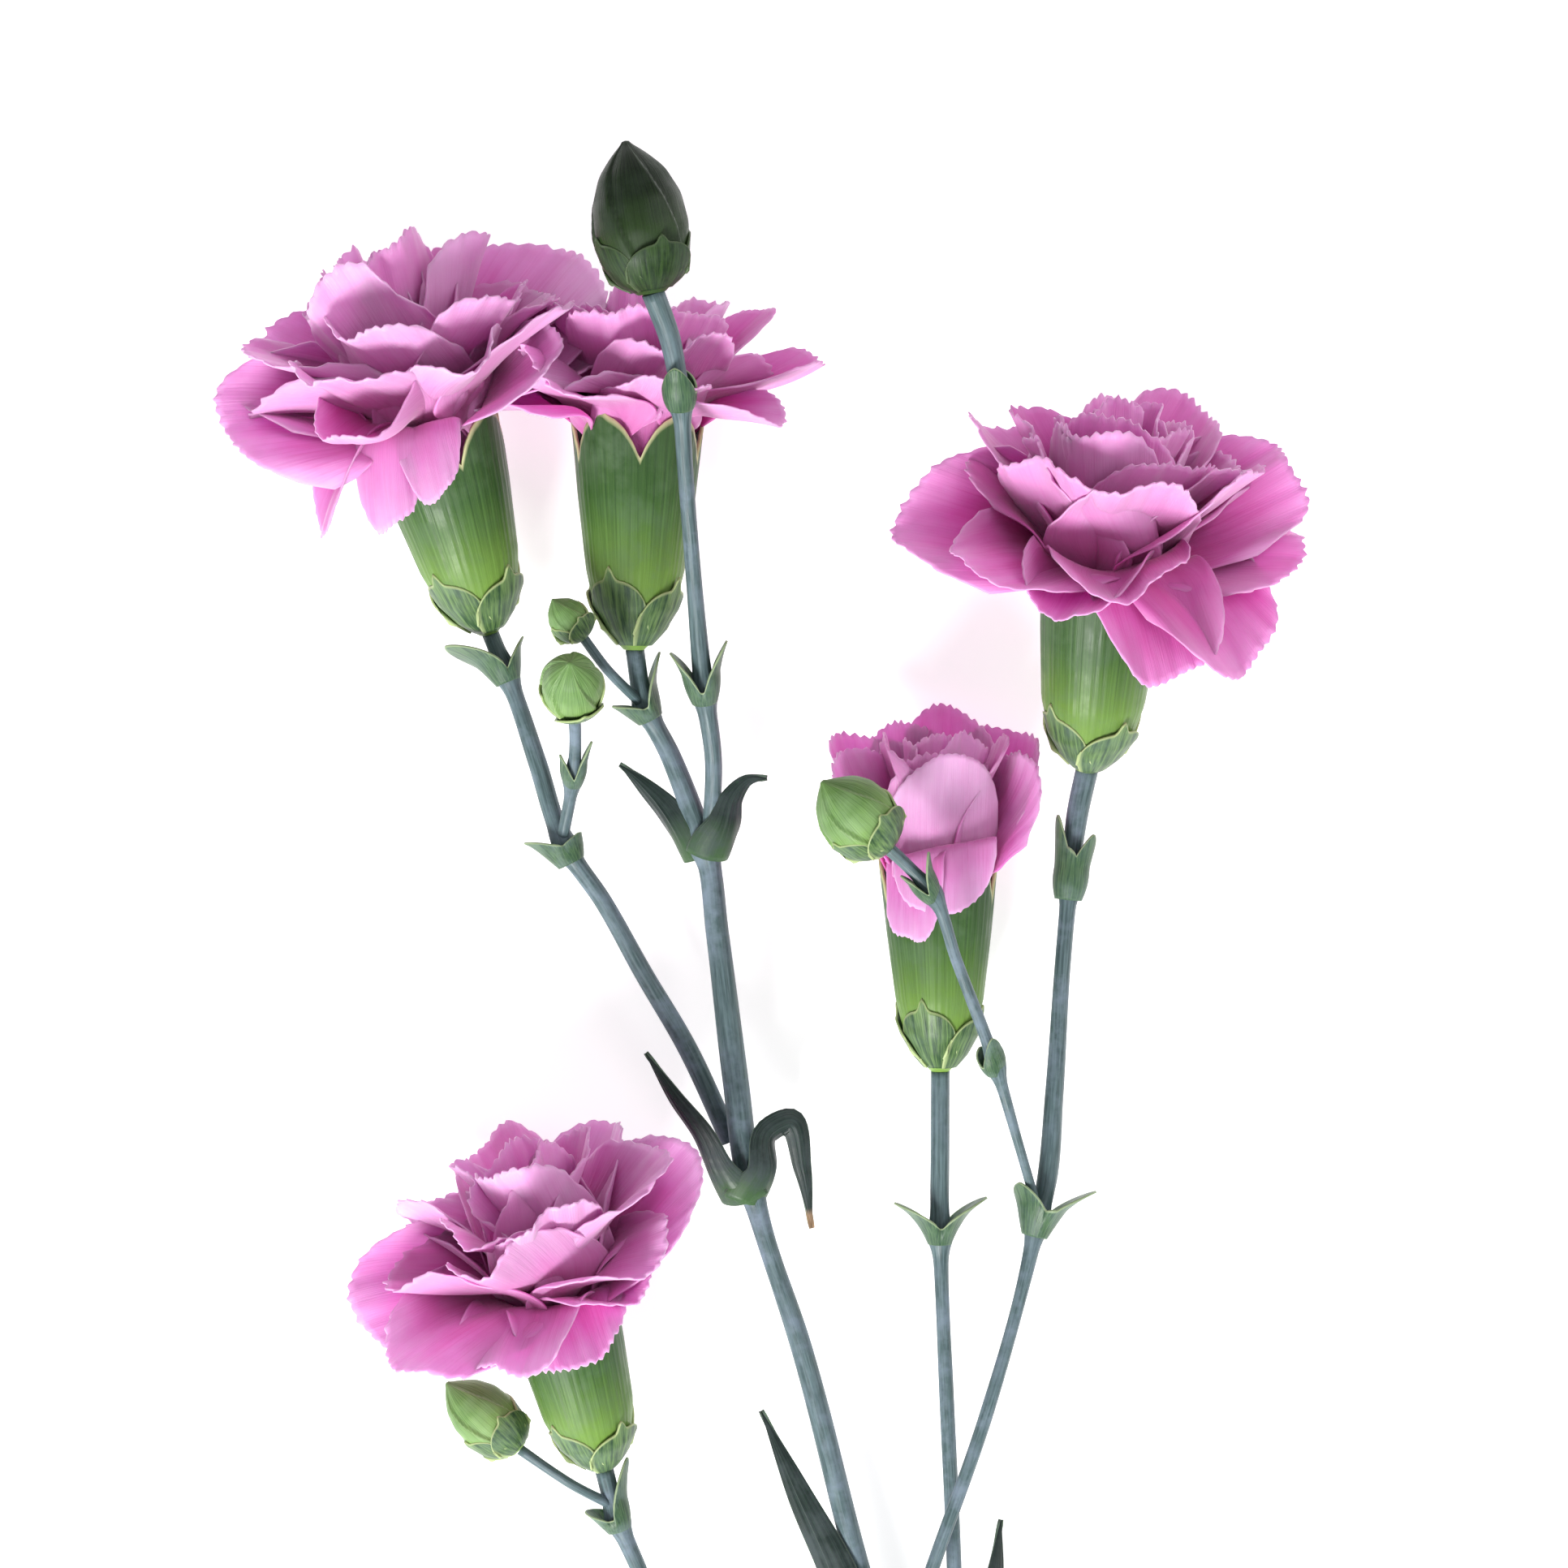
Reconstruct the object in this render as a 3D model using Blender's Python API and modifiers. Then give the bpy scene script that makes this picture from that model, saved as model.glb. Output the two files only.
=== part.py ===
"""A cut spray carnation lying on a table: one stem with its side shoots, leaves, bracts, buds and flowers.

Frame: +Z up from the table top, +Y along the stem towards the flowers, +X to the right when seen from above.
The origin lies on the table, under the middle of the whole spray. The tables below hold millimetres in a
drawing frame whose zero is on the table near the foot of the lowest flower; SPRAY_MIDDLE carries it over.
"""

import math

import bpy
import numpy as np
from mathutils import Matrix, Vector

MM = 0.001
SPRAY_MIDDLE = (-1.48, 27.01)  # middle of the spray in the drawing frame
TABLE = 0.0  # height of the table top in the drawing frame
GAP = 0.35  # room kept between neighbouring organs
BRACT_GAP = 0.5  # and under the bracts round a calyx or bud
BRACT_POINT = 1.5  # how narrow the bracts of a pair are
RING_FLARE = 0.25  # how far the ring of a bract pair widens to its top
SWELLING = 0.55  # how far a joint of the stem stands proud of it
BRACT = 0.5  # thickness of a bract
LEAF = 0.6  # thickness of a leaf
CALYX_WALL = 0.6  # thickness of a calyx
PETAL_COAT = 0.9  # thickness of the ring of outer petals, taken together
STEM_STEP = 6.5  # distance between the points of a stem's line
LEAF_STEP = 4.5  # distance between the points of a leaf's crest

GREEN_STEM = ((0.17, 0.25, 0.22), 0.55)
GREEN_LEAF = ((0.07, 0.11, 0.10), 0.50)
GREEN_CALYX = ((0.16, 0.30, 0.09), 0.45)
GREEN_BRACT = ((0.10, 0.20, 0.09), 0.50)
GREEN_BUD = ((0.10, 0.20, 0.07), 0.45)
PINK_OUTER = ((0.74, 0.30, 0.58), 0.55)
PINK_INNER = ((0.52, 0.13, 0.35), 0.55)

# Each stem's centre line from its foot to its tip: x, y, z and radius.
STEMS = {
    "main_stem": [
        (22.5, -118.0, 1.62, 1.60), (21.8, -96.0, 2.7, 1.60), (20.8, -75.0, 3.9, 1.60),
        (18.5, -45.0, 5.5, 1.55), (13.6, -17.0, 6.9, 1.50), (8.9, 0.0, 7.7, 1.42),
        (1.9, 27.2, 9.1, 1.32), (-2.9, 42.0, 9.9, 1.25), (-4.4, 47.7, 10.1, 1.55),
        (-6.1, 60.2, 10.8, 1.60), (-8.3, 78.2, 11.8, 1.42), (-9.6, 88.0, 12.3, 1.38),
        (-11.3, 93.0, 12.7, 1.38), (-14.1, 100.2, 13.6, 1.25), (-17.4, 107.0, 14.9, 1.15),
        (-18.4, 112.6, 15.7, 1.15),
    ],
    "branch_to_left_flower": [
        (-8.2, 54.4, 7.5, 1.25), (-12.1, 63.7, 8.4, 1.22), (-17.6, 73.2, 9.6, 1.15),
        (-22.6, 82.2, 10.6, 1.10), (-27.2, 89.0, 11.2, 1.15), (-30.6, 99.2, 11.3, 1.15),
        (-33.0, 106.5, 11.3, 1.05), (-36.3, 114.8, 11.3, 1.05),
    ],
    "branch_to_tall_bud": [
        (-8.0, 94.4, 15.4, 1.05), (-8.7, 99.7, 17.2, 1.05), (-9.8, 108.2, 20.5, 1.15),
        (-10.9, 121.0, 25.0, 0.95), (-11.9, 135.0, 30.5, 0.95), (-12.4, 142.7, 33.5, 1.05),
        (-13.6, 149.5, 36.0, 1.25), (-15.2, 153.7, 37.4, 1.25),
    ],
    "twig_to_round_bud": [
        (-26.9, 92.0, 13.0, 0.75), (-25.9, 97.7, 16.2, 0.75), (-25.5, 102.8, 20.0, 0.72),
        (-25.5, 105.9, 22.7, 0.80),
    ],
    "twig_to_small_bud": [
        (-18.9, 108.0, 17.2, 0.62), (-21.8, 110.8, 20.0, 0.60), (-24.0, 113.9, 22.3, 0.60),
    ],
    "branch_to_right_flower": [
        (14.7, -12.0, 9.2, 0.85), (18.6, 0.0, 11.4, 0.85), (24.9, 18.2, 12.6, 0.85),
        (29.7, 35.0, 12.2, 0.85), (31.4, 42.4, 11.9, 1.10), (32.5, 47.2, 11.7, 1.25),
        (33.5, 58.0, 11.1, 1.15), (34.6, 74.0, 10.3, 1.00), (35.5, 84.0, 10.0, 1.05),
        (36.5, 93.0, 9.7, 1.35), (37.5, 97.7, 9.6, 1.40),
    ],
    "twig_to_right_bud": [
        (30.9, 45.4, 13.7, 0.60), (28.6, 53.0, 17.0, 0.60), (25.7, 62.5, 20.4, 0.75),
        (20.9, 75.2, 23.6, 0.70), (17.8, 83.5, 25.8, 0.75), (14.9, 86.7, 26.8, 0.75),
        (12.9, 88.6, 27.4, 0.80),
    ],
    "branch_to_half_open_flower": [
        (20.6, -38.0, 6.6, 0.90), (21.6, -20.0, 6.8, 0.90), (21.2, 0.0, 6.8, 0.92),
        (20.3, 20.0, 7.2, 0.92), (19.6, 36.0, 7.9, 0.92), (19.4, 42.5, 8.3, 1.15),
        (19.4, 52.0, 9.2, 1.15), (19.4, 60.2, 10.0, 1.15),
    ],
    "branch_to_low_flower": [
        (18.1, -71.2, 5.3, 1.00), (9.0, -58.0, 6.2, 1.00), (-2.0, -40.0, 7.2, 1.00),
        (-11.0, -20.0, 8.0, 1.00), (-18.1, -1.3, 8.7, 1.00), (-20.9, 5.4, 9.0, 1.10),
        (-22.2, 10.6, 9.2, 1.15),
    ],
    "twig_to_low_bud": [
        (-23.0, 8.2, 10.7, 0.62), (-26.4, 9.8, 11.6, 0.60), (-29.4, 11.8, 11.8, 0.60),
        (-32.4, 13.9, 11.8, 0.65),
    ],
}

# The swollen joints of each stem: the point on its line.
JOINTS = {
    "main_stem": [
        (21.7, -97.0), (20.8, -75.0), (18.5, -45.0), (13.6, -17.0),
        (-4.2, 47.0), (-9.9, 89.0), (-17.2, 106.0),
    ],
    "branch_to_left_flower": [(-27.2, 89.0), (-34.6, 110.0)],
    "branch_to_tall_bud": [(-9.8, 108.0), (-12.4, 142.5)],
    "twig_to_round_bud": [(-25.8, 97.5)],
    "branch_to_right_flower": [(31.4, 42.2), (35.5, 84.0)],
    "twig_to_right_bud": [(25.7, 62.5), (17.8, 83.5)],
    "branch_to_half_open_flower": [(19.4, 40.7)],
    "branch_to_low_flower": [(-20.9, 5.0)],
}

# Each flower: foot of the calyx, direction, calyx length, waist and mouth radius, then the outer petals'
# reach and lift beyond the mouth to the front (towards the viewer from above), right, back and left,
# the heart's radius and height above the mouth, and the bowl between throat and margin: the share of the
# reach and of the lift it takes, and its own height.
FLOWERS = {
    "left_flower": {
        "foot": (-36.6, 115.4, 11.3), "axis": (-0.24, 0.93, 0.30), "calyx": (28.0, 6.4, 8.6),
        "reach": (17.0, 16.5, 22.1, 23.0), "lift": (0.0, 11.5, 5.0, 2.0), "heart": (10.5, 17.5),
        "bowl": (0.55, 0.5, 6.0),
    },
    "middle_flower": {
        "foot": (-18.5, 113.1, 15.8), "axis": (0.02, 0.99, 0.06), "calyx": (28.5, 6.2, 8.2),
        "reach": (10.8, 20.5, 16.0, 9.5), "lift": (8.0, 7.0, 8.0, 3.0), "heart": (6.3, 12.0),
        "bowl": (0.62, 0.5, 5.0),
    },
    "right_flower": {
        "foot": (37.7, 98.4, 9.6), "axis": (0.05, 0.91, 0.40), "calyx": (28.0, 6.6, 7.8),
        "reach": (20.0, 24.0, 25.37, 24.0), "lift": (-4.0, 9.0, 6.0, 3.0), "heart": (12.5, 16.0),
        "bowl": (0.55, 0.5, 6.0),
    },
    "half_open_flower": {
        "foot": (19.4, 60.9, 10.1), "axis": (-0.01, 1.00, 0.05), "calyx": (26.5, 5.6, 7.4),
        "reach": (11.0, 11.5, 9.5, 12.0), "lift": (13.0, 13.0, 14.0, 13.0), "heart": (7.0, 18.0),
        "bowl": (1.0, 0.0, 4.5),
    },
    "low_flower": {
        "foot": (-22.5, 11.4, 9.4), "axis": (-0.21, 0.92, 0.32), "calyx": (25.5, 5.9, 7.0),
        "reach": (16.0, 18.0, 19.0, 23.0), "lift": (0.0, 10.0, 5.0, 2.0), "heart": (9.0, 13.5),
        "bowl": (0.55, 0.5, 6.0),
    },
}

# Each closed bud: foot, direction, length, radius and how much of it the bracts cover.
BUDS = {
    "tall_bud": {
        "foot": (-15.6, 154.5, 37.7), "axis": (-0.17, 0.97, 0.12),
        "size": (18.0, 5.7), "cover": 0.33,
    },
    "round_bud": {
        "foot": (-25.6, 106.3, 23.4), "axis": (0.01, 0.42, 0.9),
        "size": (11.0, 3.8), "cover": 0.42,
    },
    "small_bud": {
        "foot": (-24.4, 114.4, 22.6), "axis": (-0.58, 0.72, 0.36),
        "size": (6.2, 2.4), "cover": 0.55,
    },
    "right_bud": {
        "foot": (12.5, 88.9, 27.6), "axis": (-0.68, 0.68, 0.3),
        "size": (11.8, 4.6), "cover": 0.45,
    },
    "low_bud": {
        "foot": (-32.8, 14.2, 11.8), "axis": (-0.73, 0.67, 0.05),
        "size": (12.2, 3.9), "cover": 0.4,
    },
}

# Each pair of small bracts that clasps a joint: foot, direction, ring radius, ring height, then the two
# bracts as azimuth, length and outward spread.
BRACT_PAIRS = {
    "bracts_under_left_flower": {
        "foot": (-34.2, 109.2, 11.3), "axis": (-0.37, 0.93, 0.0), "ring": (1.75, 1.6),
        "bracts": ((-60, 6.5, 3.6), (120, 4.2, 1.2)),
    },
    "bracts_left_fork": {
        "foot": (-26.4, 86.8, 11.0), "axis": (-0.45, 0.88, 0.05), "ring": (1.85, 2.2),
        "bracts": ((-75, 4.6, 1.8), (105, 2.6, 0.5)),
    },
    "bracts_under_middle_flower": {
        "foot": (-16.5, 104.6, 14.6), "axis": (-0.45, 0.87, 0.18), "ring": (1.95, 1.8),
        "bracts": ((-80, 3.4, 1.2), (100, 6.5, 2.6)),
    },
    "bracts_tall_bud_low": {
        "foot": (-9.7, 106.6, 20.0), "axis": (-0.1, 0.91, 0.38), "ring": (1.95, 2.0),
        "bracts": ((-90, 6.8, 1.4), (90, 7.6, 1.4)),
    },
    "bracts_tall_bud_high": {
        "foot": (-12.3, 141.2, 33.0), "axis": (-0.06, 0.91, 0.38), "ring": (1.85, 2.2),
        "bracts": ((0, 5.6, 0.2), (180, 4.0, 0.2)),
    },
    "bracts_round_bud_twig": {
        "foot": (-26.0, 96.4, 15.4), "axis": (0.07, 0.86, 0.52), "ring": (1.45, 1.6),
        "bracts": ((-70, 4.4, 0.3), (95, 6.4, 0.5)),
    },
    "bracts_right_fork": {
        "foot": (31.0, 40.6, 12.0), "axis": (0.22, 0.97, 0.0), "ring": (1.75, 2.0),
        "bracts": ((-40, 5.8, 2.8), (95, 6.8, 3.2)),
    },
    "bracts_under_right_flower": {
        "foot": (35.3, 82.2, 10.1), "axis": (0.1, 0.99, 0.0), "ring": (1.75, 2.2),
        "bracts": ((-75, 10.2, 0.6), (75, 7.4, 0.8)),
    },
    "bracts_right_bud_low": {
        "foot": (25.9, 61.2, 20.0), "axis": (-0.28, 0.9, 0.3), "ring": (1.45, 1.6),
        "bracts": ((30, 5.0, 0.2), (-150, 3.0, 0.2)),
    },
    "bracts_right_bud_high": {
        "foot": (18.1, 82.6, 25.6), "axis": (-0.5, 0.82, 0.28), "ring": (1.5, 1.4),
        "bracts": ((-100, 4.6, 0.4), (80, 5.6, 0.9)),
    },
    "bracts_half_open_branch": {
        "foot": (19.4, 39.2, 8.1), "axis": (0.0, 1.0, 0.05), "ring": (1.8, 2.2),
        "bracts": ((-80, 5.0, 3.4), (90, 5.6, 3.4)),
    },
    "bracts_low_fork": {
        "foot": (-20.5, 3.6, 8.9), "axis": (-0.3, 0.95, 0.05), "ring": (1.8, 1.8),
        "bracts": ((-110, 3.0, 1.2), (80, 8.2, 1.6)),
    },
}

# Each leaf: the crest of its blade from the joint to the tip, half its greatest width, how much of a
# circle its foot clasps, and the way its back faces at the foot.
LEAVES = {
    "leaf_fork_left": {
        "crest": [(-7.0, 46.6, 11.4), (-10.6, 53.6, 14.4), (-14.2, 58.6, 15.4), (-16.8, 63.0, 14.6)],
        "half_width": 1.7, "clasp": 60.0, "back": (-0.8, -0.3, 0.6),
    },
    "leaf_fork_right": {
        "crest": [
            (-1.2, 47.6, 9.8), (-1.9, 53.6, 10.6), (0.6, 54.6, 10.4), (2.2, 48.6, 9.4), (3.3, 41.6, 8.2),
        ],
        "half_width": 1.6, "clasp": 60.0, "back": (0.9, 0.2, 0.0),
    },
    "leaf_joint_left": {
        "crest": [(-12.5, 88.6, 11.4), (-14.6, 92.4, 10.4), (-17.6, 96.4, 9.4), (-20.2, 99.0, 8.6)],
        "half_width": 1.8, "clasp": 50.0, "back": (-0.9, -0.2, -0.3),
    },
    "leaf_joint_right": {
        "crest": [(-7.6, 90.0, 13.6), (-5.9, 94.6, 15.2), (-4.6, 96.8, 15.6), (-2.3, 97.4, 15.4)],
        "half_width": 1.8, "clasp": 50.0, "back": (0.8, 0.0, 0.5),
    },
    "leaf_base_left": {
        "crest": [(9.9, -15.8, 7.1), (6.8, -2.0, 7.2), (1.4, 8.6, 6.0), (-2.7, 17.6, 4.6)],
        "half_width": 2.7, "clasp": 60.0, "back": (-0.9, -0.3, 0.2),
    },
    "leaf_base_right": {
        "crest": [(15.8, -18.4, 7.9), (20.0, -16.6, 10.6), (25.6, -9.0, 11.0), (27.0, 4.4, 8.4)],
        "half_width": 2.2, "clasp": 60.0, "back": (0.6, -0.7, 0.2),
    },
    "leaf_lower_left": {
        "crest": [(16.0, -44.4, 5.5), (10.6, -34.6, 6.6), (5.8, -22.6, 6.0), (3.6, -11.6, 4.0)],
        "half_width": 2.4, "clasp": 60.0, "back": (-0.9, -0.3, 0.1),
    },
    "leaf_lower_right": {
        "crest": [(21.0, -46.6, 5.4), (28.6, -42.0, 7.4), (35.4, -31.0, 7.0), (38.0, -18.0, 3.6)],
        "half_width": 2.4, "clasp": 50.0, "back": (0.7, -0.6, 0.2),
    },
}

LEAF_TAPER = 2.2  # how late a leaf narrows to its tip
LEAF_FOOT = 0.78  # share of its half width at its foot
LEAF_BELLY = 0.7  # how much it widens in the middle
LEAF_TIP = 0.15  # half the width of its blunt tip
LEAF_OPENING = 0.7  # share of the clasp lost towards the tip

# A calyx's radius as a share of its waist, by height as a share of its length.
CALYX_HEIGHTS = (0.0, 0.05, 0.14, 0.27, 0.62, 1.0)
CALYX_FOOT = (0.30, 0.66, 0.90, 1.0)
CALYX_TEETH = 5
TOOTH = 4.0  # depth of the notches between its teeth
BRACT_COVER = 0.30  # how far up the calyx its bracts reach
BRACTS_PER_CALYX = 4
BRACT_FOOT = 0.035  # where their ring begins, as a share of the length of the calyx or bud
BRACT_NOTCH = 0.27  # how deep the dips between them are, as a share of their height
PETAL_DEPTH = 7.0  # how far the outer petals reach down into the calyx
HEART_DEPTH = 6.0  # and the inner ones
COLLAR = 6.2  # how high above the calyx the outer petals begin to flare
RUFFLE = 1.0  # how far the margin of the outer petals waves
RUFFLES = 9
LOBES = 5  # the outer petals that show apart at the margin
LOBE = 0.16  # share of the reach lost between them
# The heart's outline from above its stalk to its top: share of its radius, share of its height.
HEART_OUTLINE = ((0.62, 0.46), (0.98, 0.64), (1.0, 0.80), (0.74, 0.95), (0.34, 0.93))
THROAT_TOP = 0.24  # top of the heart's stalk, as a share of the heart's height
FOLDS = 5
FOLD = 0.13  # depth of the heart's folds, as a share of its breadth
FOLD_TWIST = 4.0  # how far the folds turn from foot to top, in radians
FOLD_RISE = 0.10
# How finely each kind of form is divided: round its axis, and up it where the form doesn't fix that.
CALYX_GRID = (15, 7)
BRACT_GRID = (12, 4)
PAIR_GRID = (14, 4)
SKIRT_GRID = (30, 6)
HEART_COLUMNS = 20
STEM_ROUNDNESS = 2
BUD_COLUMNS = 12
LEAF_COLUMNS = 5
MERGE = 1e-6
# A closed bud's outline from its tip down: share of its radius, share of its length.
BUD_OUTLINE = (
    (0.0, 1.0), (0.2, 0.95), (0.62, 0.82), (0.92, 0.62),
    (1.0, 0.42), (0.84, 0.18), (0.5, 0.04), (0.0, 0.0),
)


def material(name, finish):
    colour, roughness = finish
    made = bpy.data.materials.new(name)
    made.use_nodes = True
    surface = made.node_tree.nodes["Principled BSDF"]
    surface.inputs["Base Color"].default_value = (*colour, 1.0)
    surface.inputs["Roughness"].default_value = roughness
    surface.inputs["Metallic"].default_value = 0.0
    return made


def placed(point):
    """A point of the drawing frame, in millimetres, as a place in the model's frame, in metres."""
    x, y, z = point
    return Vector((x - SPRAY_MIDDLE[0], y - SPRAY_MIDDLE[1], z - TABLE)) * MM


def frame_at(foot, axis):
    """A local frame with its z along axis, its -y towards the viewer above and its x to the right."""
    up = Vector(axis).normalized()
    right = up.cross(Vector((0.0, 0.0, 1.0)))
    right.normalize()
    away = up.cross(right)
    frame = Matrix((right, away, up)).transposed().to_4x4()
    frame.translation = placed(foot)
    return frame


def add(name, data, collection, finish, frame=None):
    made = bpy.data.objects.new(name, data)
    collection.objects.link(made)
    made.data.materials.append(finish)
    if frame is not None:
        made.matrix_world = frame
    return made


def smooth_line(points, step):
    """Points every step or so along a smooth curve through the given ones: Catmull-Rom, by chord length."""
    given = np.array(points, float)
    knots = np.concatenate([[0.0], np.cumsum(np.linalg.norm(np.diff(given[:, :3], axis=0), axis=1))])
    slopes = np.gradient(given, knots, axis=0)
    count = max(3, round(knots[-1] / step) + 1)
    at = np.linspace(0.0, knots[-1], count)
    span = np.clip(np.searchsorted(knots, at, side="right") - 1, 0, len(knots) - 2)
    width = (knots[span + 1] - knots[span])[:, None]
    t = (at[:, None] - knots[span][:, None]) / width
    return (
        (2 * t**3 - 3 * t**2 + 1) * given[span]
        + (t**3 - 2 * t**2 + t) * width * slopes[span]
        + (3 * t**2 - 2 * t**3) * given[span + 1]
        + (t**3 - t**2) * width * slopes[span + 1]
    )


def stem(name, collection, finish):
    """A round stem as a bevelled curve, swollen at its joints."""
    line = smooth_line(STEMS[name], STEM_STEP)
    for joint in JOINTS.get(name, ()):
        nearest = np.argmin(np.linalg.norm(line[:, :2] - joint, axis=1))
        line[nearest, :2] = joint
        line[nearest, 3] += SWELLING
    curve = bpy.data.curves.new(name, "CURVE")
    curve.dimensions = "3D"
    curve.bevel_depth = MM
    curve.bevel_resolution = STEM_ROUNDNESS
    curve.use_fill_caps = True
    spline = curve.splines.new("POLY")
    spline.points.add(len(line) - 1)
    for point, (x, y, z, radius) in zip(spline.points, line):
        point.co = (*placed((x, y, z)), 1.0)
        point.radius = radius
    add(name, curve, collection, finish)


def grid_mesh(name, points, closed_round, foot=None, crown=None):
    """A mesh on a grid of points, rows by columns, joined round if closed_round. The first row is joined
    to the point foot and the last one to the point crown, where they are given."""
    rows, columns, _ = points.shape
    row, column = np.meshgrid(np.arange(rows - 1), np.arange(columns - (not closed_round)), indexing="ij")
    right = (column + 1) % columns
    below, above = row * columns, (row + 1) * columns
    corners = [below + column, below + right, above + right, above + column]
    faces = np.stack(corners, axis=-1).reshape(-1, 4)
    vertices = points.reshape(-1, 3).tolist()
    faces = faces.tolist()
    if foot is not None:
        vertices.append(foot)
        faces += [[len(vertices) - 1, (i + 1) % columns, i] for i in range(columns)]
    if crown is not None:
        vertices.append(crown)
        last = (rows - 1) * columns
        faces += [[last + i, last + (i + 1) % columns, len(vertices) - 1] for i in range(columns)]
    mesh = bpy.data.meshes.new(name)
    mesh.from_pydata(vertices, [], faces)
    mesh.shade_smooth()
    return mesh


def thicken(made, thickness, outward):
    wall = made.modifiers.new("wall", "SOLIDIFY")
    wall.thickness = thickness * MM
    wall.offset = 1.0 if outward else -1.0


def turned_points(line, columns, rows):
    """A grid of points round the z axis. line(azimuth, share) gives its radius and height in millimetres.
    Azimuth 0 faces the viewer above and 90 degrees faces right."""
    azimuth = np.linspace(0.0, 2 * math.pi, columns, endpoint=False)[None, :]
    share = np.linspace(0.0, 1.0, rows)[:, None]
    radius, height = line(*np.broadcast_arrays(azimuth, share))
    return np.stack([radius * np.sin(azimuth), -radius * np.cos(azimuth), height], axis=-1) * MM


def turned_wall(name, frame, line, grid, closed, collection, finish):
    """A sheet round the local z axis, open above, and below as well unless it is closed."""
    points = turned_points(line, *grid)
    foot = (0.0, 0.0, points[0, :, 2].mean()) if closed else None
    return add(name, grid_mesh(name, points, True, foot), collection, finish, frame)


def calyx_radius(flower, height):
    length, waist, mouth = flower["calyx"]
    shares = (*CALYX_FOOT, 0.5 * (1.0 + mouth / waist), mouth / waist)
    return waist * np.interp(np.asarray(height) / length, CALYX_HEIGHTS, shares)


def peaks(azimuth, count):
    """1 at each of count evenly spaced tips and 0 halfway between them."""
    return 0.5 + 0.5 * np.cos(count * azimuth)


def calyx(name, flower, frame, collection, finish):
    """The green tube that holds the petals: closed at its foot, open above, with five teeth."""
    length = flower["calyx"][0]

    def line(azimuth, share):
        top = length - TOOTH * (1.0 - peaks(azimuth, CALYX_TEETH))
        height = share * top
        return calyx_radius(flower, height), height

    made = turned_wall(f"{name}_calyx", frame, line, CALYX_GRID, True, collection, finish)
    thicken(made, CALYX_WALL, False)


def calyx_bracts(name, flower, frame, collection, finish):
    """The short broad bracts that overlap round the foot of the calyx, taken as one ring."""
    length = flower["calyx"][0]
    foot = BRACT_FOOT * length

    def line(azimuth, share):
        top = length * BRACT_COVER * (1.0 - BRACT_NOTCH * (1.0 - peaks(azimuth, BRACTS_PER_CALYX)))
        height = foot + share * (top - foot)
        return calyx_radius(flower, height) + BRACT_GAP, height

    made = turned_wall(f"{name}_bracts", frame, line, BRACT_GRID, False, collection, finish)
    thicken(made, BRACT, True)


def round_values(azimuth, values):
    """A value all the way round from its values in front, right, back and left."""
    front, right, back, left = values
    cosine, sine = np.cos(azimuth), np.sin(azimuth)
    along = np.where(cosine > 0, front, back)
    across = np.where(sine > 0, right, left)
    return along * cosine**2 + across * sine**2


def throat_radius(flower):
    """The radius that fits inside the calyx at the depth the petals reach into it."""
    depth = flower["calyx"][0] - PETAL_DEPTH
    return float(calyx_radius(flower, depth)) - CALYX_WALL - 2 * GAP


def outer_petals(name, flower, frame, collection, finish):
    """The outer petals as one ruffled skirt: a tube inside the calyx that flares over its mouth.
    Its line is a cubic Bezier curve from the throat to the margin."""
    length = flower["calyx"][0]
    throat = throat_radius(flower)
    bowl_radius, bowl_lift, bowl_height = flower["bowl"]

    def line(azimuth, share):
        reach = round_values(azimuth, flower["reach"])
        lift = round_values(azimuth, flower["lift"])
        start, near = (1 - share) ** 3, 3 * share * (1 - share) ** 2
        far, end = 3 * share**2 * (1 - share), share**3
        radius = (start + near) * throat + (far * bowl_radius + end) * reach
        height = -start * PETAL_DEPTH + near * COLLAR + far * (bowl_lift * lift + bowl_height) + end * lift
        notch = 1.0 - LOBE * share**2 * (1.0 - peaks(azimuth + math.pi, LOBES)) ** 2
        return radius * notch, length + height + RUFFLE * share**2 * np.sin(RUFFLES * azimuth)

    made = turned_wall(f"{name}_outer_petals", frame, line, SKIRT_GRID, False, collection, finish)
    thicken(made, PETAL_COAT, False)


def inner_petals(name, flower, frame, collection, finish):
    """The crumpled inner petals as one folded rosette on a stalk inside the throat of the flower."""
    length = flower["calyx"][0]
    wide, tall = flower["heart"]
    throat = throat_radius(flower) - PETAL_COAT - GAP
    foot = -HEART_DEPTH / tall
    heights = [foot, THROAT_TOP] + [height for _, height in HEART_OUTLINE]
    radii = [throat, throat] + [radius * wide for radius, _ in HEART_OUTLINE]
    shares = np.linspace(0.0, 1.0, len(heights))

    def line(azimuth, share):
        height = np.interp(share, shares, heights)
        radius = np.interp(share, shares, radii)
        folds = np.sin(FOLDS * azimuth + FOLD_TWIST * share) * np.clip(radius - throat, 0.0, None)
        return radius + FOLD * folds, length + height * tall + FOLD_RISE * folds

    points = turned_points(line, HEART_COLUMNS, len(heights))
    foot_point = (0.0, 0.0, (length - HEART_DEPTH) * MM)
    crown_point = (0.0, 0.0, (length + tall) * MM)
    mesh = grid_mesh(name, points, True, foot_point, crown_point)
    add(f"{name}_inner_petals", mesh, collection, finish, frame)


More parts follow.
